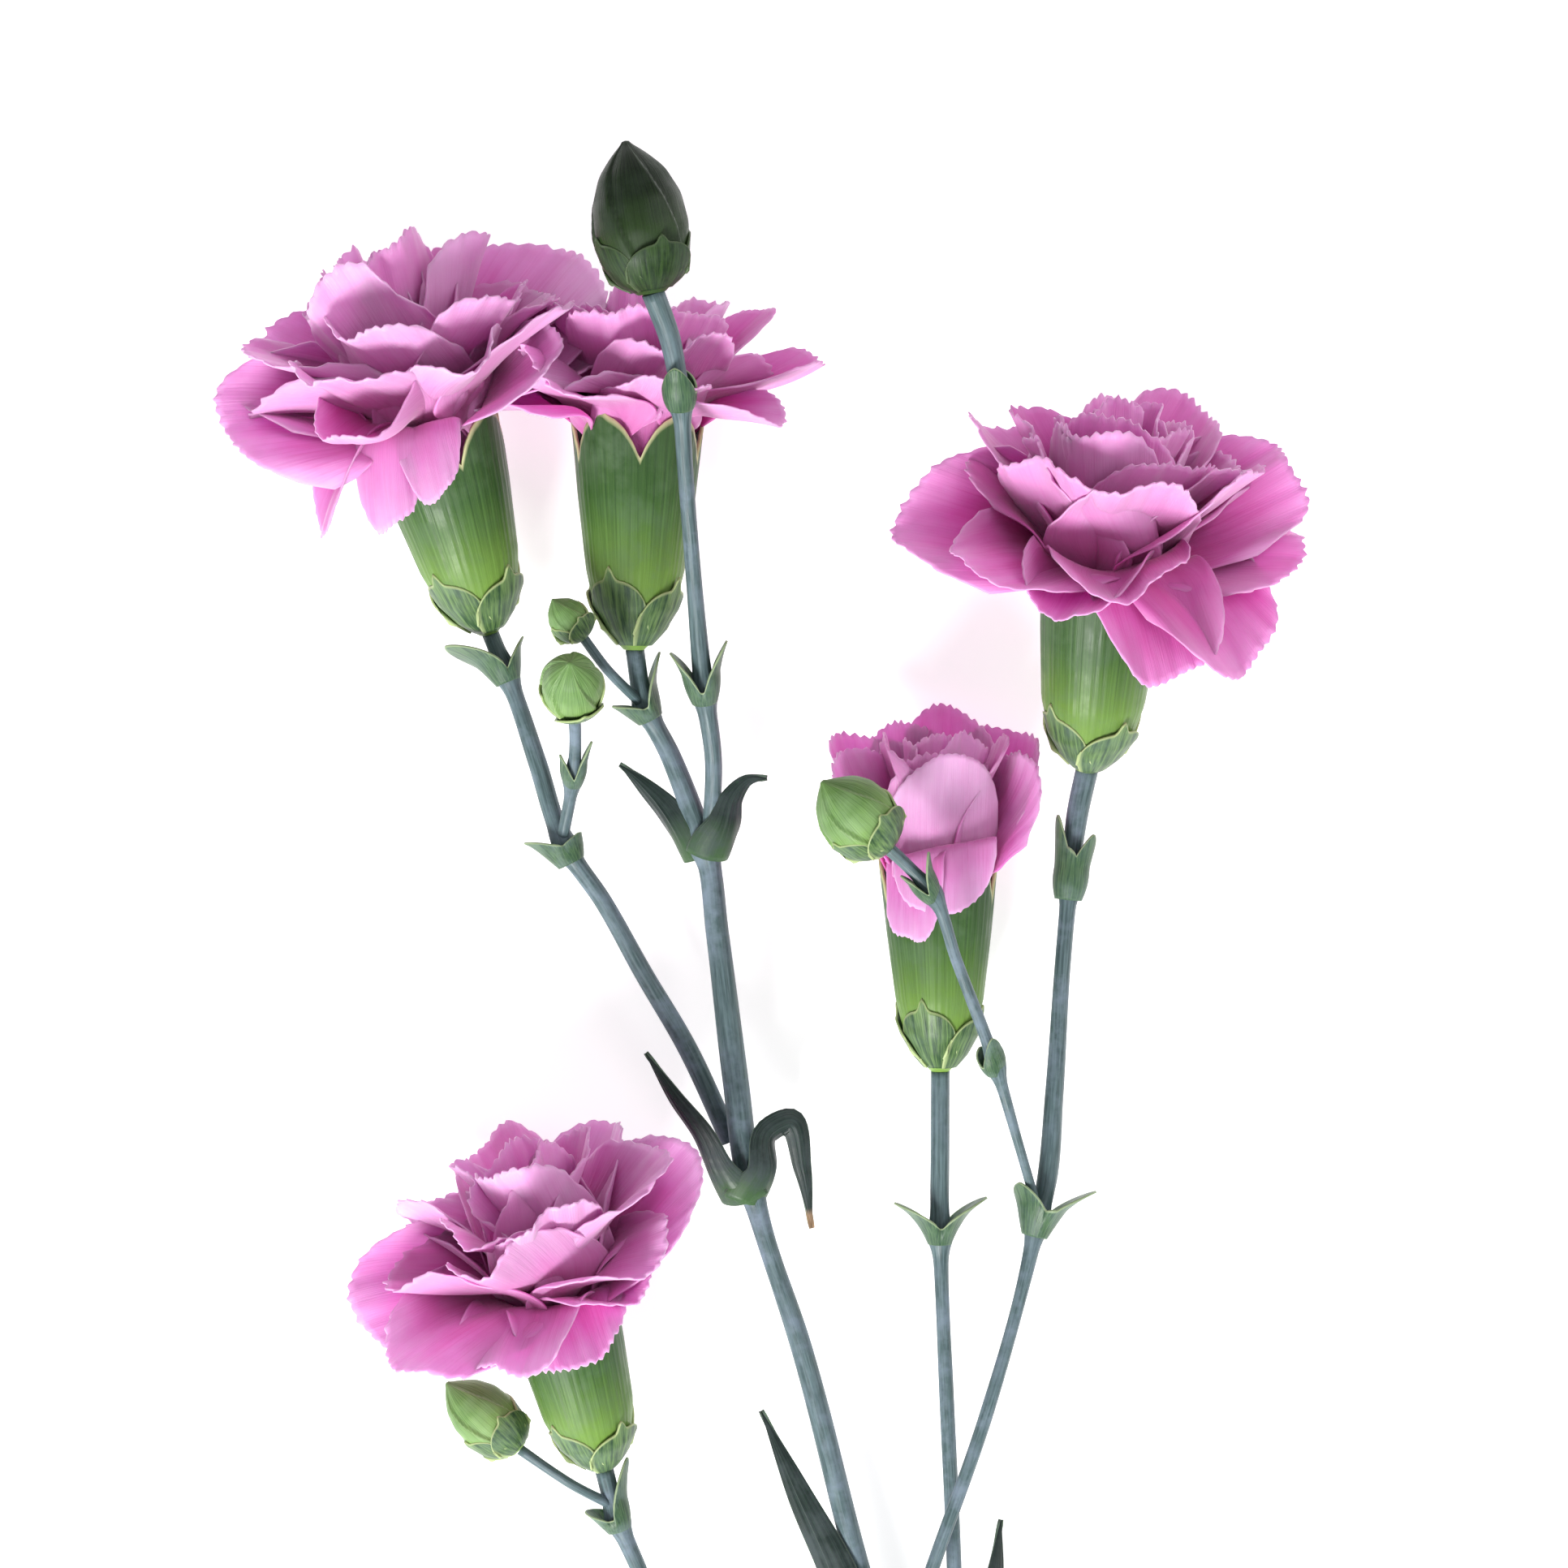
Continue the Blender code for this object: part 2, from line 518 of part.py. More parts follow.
def bud(name, shape, frame, collection, finish):
    """A closed bud: a pointed egg, as an outline turned by a Screw modifier."""
    length, radius = shape["size"]
    mesh = bpy.data.meshes.new(name)
    vertices = [(share * radius * MM, 0.0, height * length * MM) for share, height in BUD_OUTLINE]
    mesh.from_pydata(vertices, [(i, i + 1) for i in range(len(vertices) - 1)], [])
    made = add(name, mesh, collection, finish, frame)
    screw = made.modifiers.new("turn", "SCREW")
    screw.steps = screw.render_steps = BUD_COLUMNS
    screw.use_merge_vertices = True
    screw.merge_threshold = MERGE
    screw.use_smooth_shade = True


def bud_bracts(name, shape, frame, collection, finish):
    """The bracts round the foot of a bud, taken as one ring."""
    length, radius = shape["size"]
    heights = [h for _, h in reversed(BUD_OUTLINE)]
    radii = [r for r, _ in reversed(BUD_OUTLINE)]
    foot = BRACT_FOOT

    def line(azimuth, share):
        top = shape["cover"] * (1.0 - BRACT_NOTCH * (1.0 - peaks(azimuth, BRACTS_PER_CALYX)))
        height = foot + share * (top - foot)
        return radius * np.interp(height, heights, radii) + BRACT_GAP, height * length

    made = turned_wall(f"{name}_bracts", frame, line, BRACT_GRID, False, collection, finish)
    thicken(made, BRACT, True)


def bract_pair(name, collection, finish):
    """Two small bracts joined at the foot into a ring round a joint of the stem."""
    shape = BRACT_PAIRS[name]
    ring, height = shape["ring"]

    def line(azimuth, share):
        length = np.full_like(azimuth, height)
        spread = np.zeros_like(azimuth)
        for bearing, reach, lean in shape["bracts"]:
            near = np.clip(np.cos(azimuth - math.radians(bearing)), 0.0, 1.0) ** BRACT_POINT
            length = length + (reach - height) * near
            spread = spread + lean * near
        return ring + GAP + RING_FLARE * share + spread * share**2, share * length

    frame = frame_at(shape["foot"], shape["axis"])
    made = turned_wall(name, frame, line, PAIR_GRID, False, collection, finish)
    thicken(made, BRACT, True)


def leaf(name, collection, finish):
    """A narrow pointed leaf: its section is an arc that clasps the stem at the foot and opens to the tip."""
    shape = LEAVES[name]
    line = smooth_line(shape["crest"], LEAF_STEP)
    share = np.linspace(0.0, 1.0, len(line))[:, None]
    along = np.gradient(line, axis=0)
    along /= np.linalg.norm(along, axis=1)[:, None]
    back = np.array(shape["back"], float)
    backs = []
    for direction in along:
        back = back - direction * (back @ direction)
        back = back / np.linalg.norm(back)
        backs.append(back)
    backs = np.array(backs)
    side = np.cross(along, backs)
    taper = 1.0 - share**LEAF_TAPER
    belly = LEAF_FOOT + LEAF_BELLY * share * (1.0 - share)
    half = shape["half_width"] * taper * belly + LEAF_TIP
    clasp = np.radians(shape["clasp"]) * (1.0 - LEAF_OPENING * share)
    bend = half / np.sin(clasp)
    turn = clasp * np.linspace(-1.0, 1.0, LEAF_COLUMNS)[None, :]
    points = (
        line[:, None, :]
        + side[:, None, :] * (bend * np.sin(turn))[:, :, None]
        + backs[:, None, :] * (bend * (np.cos(turn) - 1.0))[:, :, None]
    )
    offset = np.array((SPRAY_MIDDLE[0], SPRAY_MIDDLE[1], TABLE))
    made = add(name, grid_mesh(name, (points - offset) * MM, False), collection, finish)
    thicken(made, LEAF, True)
    return made


def main():
    for old in list(bpy.data.objects):
        bpy.data.objects.remove(old)
    spray = bpy.data.collections.new("cut_spray_carnation")
    bpy.context.scene.collection.children.link(spray)
    stem_green = material("stem", GREEN_STEM)
    leaf_green = material("leaf", GREEN_LEAF)
    calyx_green = material("calyx", GREEN_CALYX)
    bract_green = material("bract", GREEN_BRACT)
    bud_green = material("bud", GREEN_BUD)
    outer_pink = material("outer_petal", PINK_OUTER)
    inner_pink = material("inner_petal", PINK_INNER)
    for name in STEMS:
        stem(name, spray, stem_green)
    for name in LEAVES:
        leaf(name, spray, leaf_green)
    for name in BRACT_PAIRS:
        bract_pair(name, spray, bract_green)
    for name, shape in BUDS.items():
        frame = frame_at(shape["foot"], shape["axis"])
        bud(name, shape, frame, spray, bud_green)
        bud_bracts(name, shape, frame, spray, bract_green)
    for name, flower in FLOWERS.items():
        frame = frame_at(flower["foot"], flower["axis"])
        calyx(name, flower, frame, spray, calyx_green)
        calyx_bracts(name, flower, frame, spray, bract_green)
        outer_petals(name, flower, frame, spray, outer_pink)
        inner_petals(name, flower, frame, spray, inner_pink)


main()
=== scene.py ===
# %% [markdown]
# # A cut spray carnation
#
# A spray carnation is a branching stem with several open flowers and some closed buds. This one lies on a
# table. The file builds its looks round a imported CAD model, which fixes where every organ is. Each organ
# becomes a thin, curved, textured piece of its own, and every petal is one piece.

import math

import bpy
import numpy as np
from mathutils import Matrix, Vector


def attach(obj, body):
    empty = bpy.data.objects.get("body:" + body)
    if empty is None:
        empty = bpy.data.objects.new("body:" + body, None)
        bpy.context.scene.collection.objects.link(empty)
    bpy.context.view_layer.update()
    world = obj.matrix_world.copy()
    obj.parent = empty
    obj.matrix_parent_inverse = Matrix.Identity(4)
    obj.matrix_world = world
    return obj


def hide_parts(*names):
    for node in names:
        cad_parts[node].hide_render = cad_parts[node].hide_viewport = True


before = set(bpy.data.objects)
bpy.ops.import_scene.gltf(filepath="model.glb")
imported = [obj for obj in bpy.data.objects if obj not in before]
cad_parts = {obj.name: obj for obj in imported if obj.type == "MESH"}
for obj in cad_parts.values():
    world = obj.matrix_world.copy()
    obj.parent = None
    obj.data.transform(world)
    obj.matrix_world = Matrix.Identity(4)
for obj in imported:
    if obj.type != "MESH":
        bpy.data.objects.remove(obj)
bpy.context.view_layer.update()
MM = 0.001
print("CAD nodes:", len(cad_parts))

# %% [markdown]
# ## Surfaces on a grid
#
# A petal, a leaf or a calyx is a thin sheet that bends in space. Such a sheet is a function of two numbers:
# how far along it a point is, and how far across. So each piece here is a grid of points worked out with
# numpy as whole arrays, and then joined into four-sided faces. A Solidify modifier gives it its thickness.
# Numbers that the materials need later, such as how near a point is to the margin, go on the points as
# attributes.


# %% From a grid of points to a piece
def grid_faces(rows, columns, round_trip=False):
    """Four corners per face: a point, its right-hand neighbour, and the two above them. With round_trip
    the last column joins the first."""
    row, column = np.meshgrid(np.arange(rows - 1), np.arange(columns - (not round_trip)), indexing="ij")
    right = (column + 1) % columns
    corners = [row * columns + column, row * columns + right, (row + 1) * columns + right]
    corners.append((row + 1) * columns + column)
    return np.stack(corners, axis=-1).reshape(-1, 4)


def cap_faces(start, columns, pole, upward):
    """A fan of triangles from one ring of points to a pole."""
    here = start + np.arange(columns)
    right = start + (np.arange(columns) + 1) % columns
    ends = (here, right) if upward else (right, here)
    return np.stack([*ends, np.full(columns, pole)], axis=-1)


def make_mesh(name, points, face_lists, marks):
    """Points in millimetres and arrays of faces become a smooth mesh in metres, with one float per point
    for each entry of marks."""
    mesh = bpy.data.meshes.new(name)
    corners = np.concatenate([faces.reshape(-1) for faces in face_lists])
    sizes = np.concatenate([np.full(len(faces), faces.shape[1]) for faces in face_lists])
    mesh.vertices.add(len(points))
    mesh.vertices.foreach_set("co", (np.asarray(points, float) * MM).reshape(-1).astype(np.float32))
    mesh.loops.add(len(corners))
    mesh.loops.foreach_set("vertex_index", corners.astype(np.int32))
    mesh.polygons.add(len(sizes))
    mesh.polygons.foreach_set("loop_start", np.concatenate([[0], np.cumsum(sizes)[:-1]]).astype(np.int32))
    for mark, values in marks.items():
        attribute = mesh.attributes.new(mark, "FLOAT", "POINT")
        attribute.data.foreach_set("value", np.asarray(values, np.float32).reshape(-1))
    mesh.update(calc_edges=True)
    mesh.validate()
    mesh.shade_smooth()
    return mesh


def on_grid(values, shape, *poles):
    """A mark for every point of a grid of this shape, with one more value for each pole."""
    return np.append(np.broadcast_to(values, shape[:2]).reshape(-1), poles)


def place_piece(name, mesh, materials, stands_for, wall=0.0, second=0):
    """The mesh becomes a piece of the spray. wall is the thickness in millimetres that it grows on the
    side away from its normals, and second moves that new side on to the next material."""
    piece = bpy.data.objects.new(name, mesh)
    bpy.context.scene.collection.objects.link(piece)
    for material in materials:
        mesh.materials.append(material)
    if wall:
        solid = piece.modifiers.new("wall", "SOLIDIFY")
        solid.thickness = wall * MM
        solid.offset = -1.0
        solid.material_offset = second
        solid.material_offset_rim = second
    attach(piece, "root")
    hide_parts(*stands_for)
    return piece


def smooth_step(x):
    """0 below 0, 1 above 1, and the curve 3x^2 - 2x^3 between them."""
    x = np.clip(x, 0.0, 1.0)
    return x * x * (3.0 - 2.0 * x)


def above_table(points, least=0.3, softness=0.5):
    """Points near or under the table are eased up on to it: a soft version of the larger of z and least."""
    points = points.copy()
    points[..., 2] = least + softness * np.logaddexp(0.0, (points[..., 2] - least) / softness)
    return points


print("helpers ready")

# %% [markdown]
# ## Materials
#
# Living tissue is never one flat colour. Petals are deep pink towards their bases, partly their own colour
# and partly painted shade where they crowd together, and nearly white at the margin, with fine veins that run
# out to it. Green parts carry a pale waxy bloom that makes them look blue. All of that is built from noise
# that is stretched along the organ, with the marks on the points as coordinates, so each pattern follows its
# own piece.


# %% Small helpers for node trees
def start_material(name, roughness, **constants):
    """A new material and its tree. constants are set on the Principled shader's own sockets."""
    material = bpy.data.materials.new(name)
    material.use_nodes = True
    shader = material.node_tree.nodes["Principled BSDF"]
    shader.inputs["Roughness"].default_value = roughness
    for socket, value in constants.items():
        shader.inputs[socket.replace("_", " ")].default_value = value
    return material, material.node_tree, shader


def mark(tree, name):
    node = tree.nodes.new("ShaderNodeAttribute")
    node.attribute_name = name
    return node.outputs["Fac"]


def set_or_link(tree, sockets, values):
    """Each value goes on its socket: a number as its constant, and a socket of another node as a link."""
    for socket, value in zip(sockets, values):
        if isinstance(value, (int, float)):
            socket.default_value = value
        else:
            tree.links.new(value, socket)


def number(tree, operation, *values):
    node = tree.nodes.new("ShaderNodeMath")
    node.operation = operation
    set_or_link(tree, node.inputs, values)
    return node.outputs[0]


def times(tree, first, second):
    return number(tree, "MULTIPLY", first, second)


def plus(tree, first, second):
    return number(tree, "ADD", first, second)


def vector(tree, *parts):
    node = tree.nodes.new("ShaderNodeCombineXYZ")
    set_or_link(tree, node.inputs, parts)
    return node.outputs[0]


def noise(tree, where, scale, detail=3.0, roughness=0.55):
    node = tree.nodes.new("ShaderNodeTexNoise")
    node.inputs["Scale"].default_value = scale
    node.inputs["Detail"].default_value = detail
    node.inputs["Roughness"].default_value = roughness
    tree.links.new(where, node.inputs["Vector"])
    return node.outputs["Fac"]


def object_place(tree):
    return tree.nodes.new("ShaderNodeTexCoord").outputs["Object"]


def span(tree, value, low, high):
    """0 at low and 1 at high, held there beyond them."""
    node = tree.nodes.new("ShaderNodeMapRange")
    tree.links.new(value, node.inputs["Value"])
    node.inputs["From Min"].default_value = low
    node.inputs["From Max"].default_value = high
    return node.outputs["Result"]


def blend(tree, share, first, second):
    """first where share is 0 and second where it is 1. Either may be a colour or a socket."""
    node = tree.nodes.new("ShaderNodeMix")
    node.data_type = "RGBA"
    tree.links.new(share, node.inputs["Factor"])
    for socket, value in zip((node.inputs[6], node.inputs[7]), (first, second)):
        if isinstance(value, tuple):
            socket.default_value = (*value, 1.0)
        else:
            tree.links.new(value, socket)
    return node.outputs[2]


def bump(tree, height, shader, strength, distance):
    node = tree.nodes.new("ShaderNodeBump")
    node.inputs["Strength"].default_value = strength
    node.inputs["Distance"].default_value = distance * MM
    tree.links.new(height, node.inputs["Height"])
    tree.links.new(node.outputs["Normal"], shader.inputs["Normal"])


# %% [markdown]
# ### Petals
#
# A petal's colour has four layers: a deep pink towards its base, partly its own colour and partly painted
# shade where the petals crowd together, the mid pink of the limb, veins as thin streaks that run from base to
# margin, and a pale band at the margin itself. Its underside is paler and greyer. Light that enters a petal
# comes out again nearby, which is what subsurface scattering adds.


# %% The petal materials
def petal_material(name, deep, middle, pale, vein_strength):
    material, tree, shader = start_material(
        name, 0.5, Subsurface_Weight=0.45, Subsurface_Scale=0.0014, Sheen_Weight=0.25, Sheen_Roughness=0.4
    )
    shader.inputs["Subsurface Radius"].default_value = (1.0, 0.45, 0.75)
    shader.inputs["Specular IOR Level"].default_value = 0.25
    along, across, tone = mark(tree, "along"), mark(tree, "across"), mark(tree, "tone")
    seed = times(tree, tone, 37.0)
    fine = noise(tree, vector(tree, times(tree, across, 22.0), along, seed), 2.2, 4.0)
    broad = noise(tree, vector(tree, times(tree, across, 2.0), along, seed), 1.6, 2.0)
    patches = noise(tree, object_place(tree), 160.0, 3.0)
    reach = plus(tree, along, times(tree, number(tree, "SUBTRACT", broad, 0.5), 0.5))
    # Deep pink towards the base: partly the petal's own colour and partly painted shade where the petals
    # crowd together.
    colour = blend(tree, span(tree, reach, 0.30, 0.72), deep, middle)
    colour = blend(tree, times(tree, span(tree, reach, 0.70, 1.0), 0.75), colour, pale)
    colour = blend(tree, times(tree, span(tree, tone, 0.3, 1.0), 0.35), colour, pale)
    colour = blend(tree, times(tree, span(tree, tone, 0.45, 0.0), 0.35), colour, deep)
    colour = blend(tree, times(tree, span(tree, patches, 0.45, 0.75), 0.20), colour, deep)
    veins = times(tree, span(tree, fine, 0.50, 0.66), vein_strength)
    colour = blend(tree, times(tree, veins, span(tree, along, 1.02, 0.75)), colour, deep)
    colour = blend(tree, times(tree, span(tree, along, 0.96, 1.0), 0.22), colour, pale)
    tree.links.new(colour, shader.inputs["Base Color"])
    tree.links.new(plus(tree, times(tree, fine, 0.25), 0.38), shader.inputs["Roughness"])
    bump(tree, plus(tree, fine, times(tree, patches, 0.5)), shader, 0.35, 0.25)
    return material


# The deep pinks colour the petal bases, partly as painted shade, and also the veins and the darker patches.
PINK_DEEP = (0.54, 0.080, 0.30)
PINK_MIDDLE = (0.68, 0.180, 0.50)
PINK_PALE = (0.84, 0.46, 0.75)
PALE_DEEP = (0.60, 0.145, 0.40)
PALE_MIDDLE = (0.72, 0.30, 0.59)
upper_petal = petal_material("petal_upper_side", PINK_DEEP, PINK_MIDDLE, PINK_PALE, 0.26)
under_petal = petal_material("petal_underside", PALE_DEEP, PALE_MIDDLE, PINK_PALE, 0.20)
print("petal materials ready")

# %% [markdown]
# ### Green parts
#
# Stems, leaves, bracts, calyces and buds share one recipe with different numbers: two greens mixed by long
# streaks, a pale waxy bloom in patches, and a cream skin at thin margins. The calyx fades from dark green
# near its rim to yellow green at its foot. The dark green of its upper part is partly its own colour and
# partly painted shade under the corolla.


# %% The green materials
def green_material(
    name, dark, light, bloom, bloom_share, streaks, foot=None, margin=None, tip=None, crown=None
):
    """streaks is how many fine streaks lie across the piece. foot, crown, margin and tip are colours for
    those places, found from the marks along, edge and dry. crown, the darker colour of the upper part, is
    partly painted shade. bloom_share is how much of the wax shows."""
    material, tree, shader = start_material(name, 0.5, Subsurface_Weight=0.08, Subsurface_Scale=0.001)
    shader.inputs["Subsurface Radius"].default_value = (0.6, 1.0, 0.3)
    shader.inputs["Specular IOR Level"].default_value = 0.25
    along, across, edge = mark(tree, "along"), mark(tree, "across"), mark(tree, "edge")
    lines = vector(tree, times(tree, across, streaks), times(tree, along, 1.5))
    fine = noise(tree, lines, 1.0, 3.0, 0.6)
    patches = noise(tree, object_place(tree), 300.0, 4.0, 0.6)
    broad = noise(tree, object_place(tree), 70.0, 2.0)
    colour = blend(tree, span(tree, fine, 0.38, 0.64), dark, light)
    if foot:
        low = span(tree, plus(tree, along, times(tree, patches, 0.2)), 0.75, 0.15)
        colour = blend(tree, low, colour, foot)
    # Painted shade: the upper part is darkened towards the crown colour, where the corolla shades the calyx.
    if crown:
        colour = blend(tree, times(tree, span(tree, along, 0.35, 0.9), 0.8), colour, crown)
    wax = times(tree, span(tree, patches, 0.42, 0.66), span(tree, broad, 0.35, 0.6))
    colour = blend(tree, times(tree, wax, bloom_share), colour, bloom)
    if margin:
        colour = blend(tree, span(tree, edge, 0.66, 0.98), colour, margin)
    if tip:
        colour = blend(tree, span(tree, mark(tree, "dry"), 0.2, 0.8), colour, tip)
    tree.links.new(colour, shader.inputs["Base Color"])
    tree.links.new(plus(tree, times(tree, wax, 0.3), 0.36), shader.inputs["Roughness"])
    bump(tree, plus(tree, fine, times(tree, patches, 0.3)), shader, 0.5, 0.12)
    return material


CREAM = (0.62, 0.66, 0.34)
stem_green = green_material(
    "stem_green", (0.058, 0.094, 0.098), (0.124, 0.184, 0.196), (0.200, 0.256, 0.320), 0.75, 7.0,
    margin=(0.34, 0.42, 0.20),
)
leaf_green = green_material(
    "leaf_green", (0.010, 0.019, 0.017), (0.026, 0.042, 0.037), (0.058, 0.078, 0.082), 0.6, 22.0,
    foot=(0.060, 0.125, 0.048), margin=(0.09, 0.13, 0.10), tip=(0.30, 0.20, 0.12),
)
# The calyx's crown colour is partly its own darker green and partly painted shade under the corolla.
calyx_green = green_material(
    "calyx_green", (0.026, 0.078, 0.014), (0.082, 0.185, 0.040), (0.140, 0.220, 0.130), 0.30, 46.0,
    foot=(0.21, 0.36, 0.07), margin=CREAM, crown=(0.032, 0.075, 0.026),
)
bract_green = green_material(
    "bract_green", (0.022, 0.060, 0.026), (0.140, 0.240, 0.080), (0.170, 0.245, 0.190), 0.45, 22.0,
    margin=(0.44, 0.54, 0.25),
)
joint_green = green_material(
    "joint_green", (0.028, 0.068, 0.040), (0.092, 0.168, 0.080), (0.165, 0.235, 0.215), 0.85, 22.0,
    margin=(0.36, 0.45, 0.26),
)
# Painted shade: the tall bud's bracts get a much darker copy of the bract green, for the shade they are in.
tall_bract_shaded_green = green_material(
    "tall_bract_shaded_green", (0.008, 0.024, 0.007), (0.034, 0.072, 0.018), (0.060, 0.090, 0.060), 0.4, 26.0,
    margin=(0.085, 0.125, 0.060),
)
bud_green = green_material(
    "bud_green", (0.080, 0.170, 0.042), (0.190, 0.340, 0.105), (0.250, 0.370, 0.200), 0.35, 50.0,
    foot=(0.26, 0.42, 0.12), margin=(0.36, 0.50, 0.24),
)
# Painted shade: the tall bud gets a much darker copy of the bud green, for the shade it is in.
tall_bud_shaded_green = green_material(
    "tall_bud_shaded_green", (0.003, 0.008, 0.003), (0.013, 0.027, 0.009), (0.028, 0.044, 0.030), 0.35, 50.0,
    foot=(0.036, 0.075, 0.018), margin=(0.030, 0.050, 0.024),
)
print("green materials ready")

# %% [markdown]
# ## Stems
#
# A stem is a round rod that follows a gently curving line and swells at each joint, where leaves grow. A
# bevelled curve could make it, but not the marks that the streaks need, so a ring of points is carried along
# the line instead. The rings are turned as little as possible from one to the next, so that the streaks run
# straight.

# %% The stems' lines: x, y, z and radius in millimetres
STEMS = {
    "main_stem": [
        (24, -145, 1.8, 1.6), (23.3, -123, 2.7, 1.6), (22.3, -102, 3.9, 1.6), (20, -72, 5.5, 1.55),
        (15.1, -44, 6.9, 1.5), (10.4, -27, 7.7, 1.42), (3.4, 0.2, 9.1, 1.32), (-1.4, 15, 9.9, 1.25),
        (-2.9, 20.7, 10.1, 1.55), (-4.6, 33.2, 10.8, 1.6), (-6.8, 51.2, 11.8, 1.42), (-8.1, 61, 12.3, 1.38),
        (-9.8, 66, 12.7, 1.38), (-12.6, 73.2, 13.6, 1.25), (-15.9, 80, 14.9, 1.15),
        (-16.9, 86.2, 15.7, 1.15),
    ],
    "branch_to_left_flower": [
        (-5.2, 25, 8, 1.25), (-10.6, 36.7, 8.4, 1.22), (-16.1, 46.2, 9.6, 1.15), (-21.1, 55.2, 10.6, 1.1),
        (-25.7, 62, 11.2, 1.15), (-29.1, 72.2, 11.3, 1.15), (-31.5, 79.5, 11.3, 1.05),
        (-35, 88.4, 11.3, 1.05),
    ],
    "branch_to_tall_bud": [
        (-7.6, 63.5, 13.4, 1.05), (-7.2, 72.7, 17.2, 1.05), (-8.3, 81.2, 20.5, 1.15), (-9.4, 94, 25, 0.95),
        (-10.4, 108, 30.5, 0.95), (-10.9, 115.7, 33.5, 1.05), (-12.1, 122.5, 36, 1.25),
        (-14, 127.6, 37.7, 1.35),
    ],
    "twig_to_round_bud": [
        (-26, 62.8, 11.8, 0.75), (-24.4, 70.7, 16.2, 0.75), (-24, 75.8, 20, 0.72), (-24.1, 79.5, 23.4, 0.8),
    ],
    "twig_to_small_bud": [
        (-16.2, 79.6, 15.6, 0.62), (-20.3, 83.8, 20, 0.6), (-23, 87.5, 22.7, 0.6),
    ],
    "branch_to_right_flower": [
        (15, -43, 7.6, 0.85), (20.1, -27, 11.4, 0.85), (26.4, -8.8, 12.6, 0.85), (31.2, 8, 12.2, 0.85),
        (32.9, 15.4, 11.9, 1.1), (34, 20.2, 11.7, 1.25), (35, 31, 11.1, 1.15), (36.1, 47, 10.3, 1),
        (37, 57, 10, 1.05), (38, 66, 9.7, 1.35), (39.2, 71.5, 9.6, 1.4),
    ],
    "twig_to_right_bud": [
        (33, 16.4, 12.4, 0.6), (30.1, 26, 17, 0.6), (27.2, 35.5, 20.4, 0.75), (22.4, 48.2, 23.6, 0.7),
        (19.3, 56.5, 25.8, 0.75), (16.4, 59.7, 26.8, 0.75), (13.8, 62.1, 27.6, 0.8),
    ],
    "branch_to_half_open_flower": [
        (20.4, -71, 5.8, 0.9), (23.1, -47, 6.8, 0.9), (22.7, -27, 6.8, 0.92), (21.8, -7, 7.2, 0.92),
        (21.1, 9, 7.9, 0.92), (20.9, 15.5, 8.3, 1.15), (20.9, 25, 9.2, 1.15), (20.9, 33.9, 10.1, 1.15),
    ],
    "branch_to_low_flower": [
        (21.6, -101, 4.3, 1), (10.5, -85, 6.2, 1), (-0.5, -67, 7.2, 1), (-9.5, -47, 8, 1),
        (-16.6, -28.3, 8.7, 1), (-19.4, -21.6, 9, 1.1), (-20.9, -15.8, 9.4, 1.15),
    ],
    "twig_to_low_bud": [
        (-20.2, -20, 9.6, 0.62), (-24.9, -17.2, 11.6, 0.6), (-27.9, -15.2, 11.8, 0.6),
        (-31.2, -12.9, 11.8, 0.65),
    ],
}
# Where each stem is jointed, as x and y on its line.
JOINTS = {
    "main_stem": [(23.2, -124), (22.3, -102), (20, -72), (15.1, -44), (-2.7, 20), (-8.4, 62), (-15.7, 79)],
    "branch_to_left_flower": [(-25.7, 62), (-33.1, 83)],
    "branch_to_tall_bud": [(-8.3, 81), (-10.9, 115.5)],
    "twig_to_round_bud": [(-24.3, 70.5)],
    "branch_to_right_flower": [(32.9, 15.2), (37, 57)],
    "twig_to_right_bud": [(27.2, 35.5), (19.3, 56.5)],
    "branch_to_half_open_flower": [(20.9, 13.7)],
    "branch_to_low_flower": [(-19.4, -22)],
}
print("stems:", len(STEMS))


# %% A stem from its line
def smooth_line(given, step):
    """A point every step or so along a curve that passes through all the given ones: between two of them
    it is a cubic with the average slope of their neighbours at each."""
    given = np.array(given, float)
    knots = np.concatenate([[0.0], np.cumsum(np.linalg.norm(np.diff(given[:, :3], axis=0), axis=1))])
    slopes = np.gradient(given, knots, axis=0)
    at = np.linspace(0.0, knots[-1], max(4, round(knots[-1] / step) + 1))
    part = np.clip(np.searchsorted(knots, at, side="right") - 1, 0, len(knots) - 2)
    width = (knots[part + 1] - knots[part])[:, None]
    t = (at[:, None] - knots[part][:, None]) / width
    return (
        (2 * t**3 - 3 * t**2 + 1) * given[part]
        + (t**3 - 2 * t**2 + t) * width * slopes[part]
        + (3 * t**2 - 2 * t**3) * given[part + 1]
        + (t**3 - t**2) * width * slopes[part + 1]
    )


def steady_sides(line, first):
    """Two side directions at each point of a line. The first is carried along with no twist: at each point
    the part of it that lies along the line is taken away."""
    along = np.gradient(line, axis=0)
    along /= np.linalg.norm(along, axis=1)[:, None]
    side, sides = np.array(first, float), []
    for direction in along:
        side = side - direction * (side @ direction)
        side = side / np.linalg.norm(side)
        sides.append(side)
    sides = np.array(sides)
    return along, sides, np.cross(along, sides)


STEM_COLUMNS = 24
STEM_STEP = 0.9
SWELLING, SWELLING_REACH = 0.62, 1.7
GROOVE, GROOVE_REACH = 0.16, 0.5
CUT_EDGE = 0.86


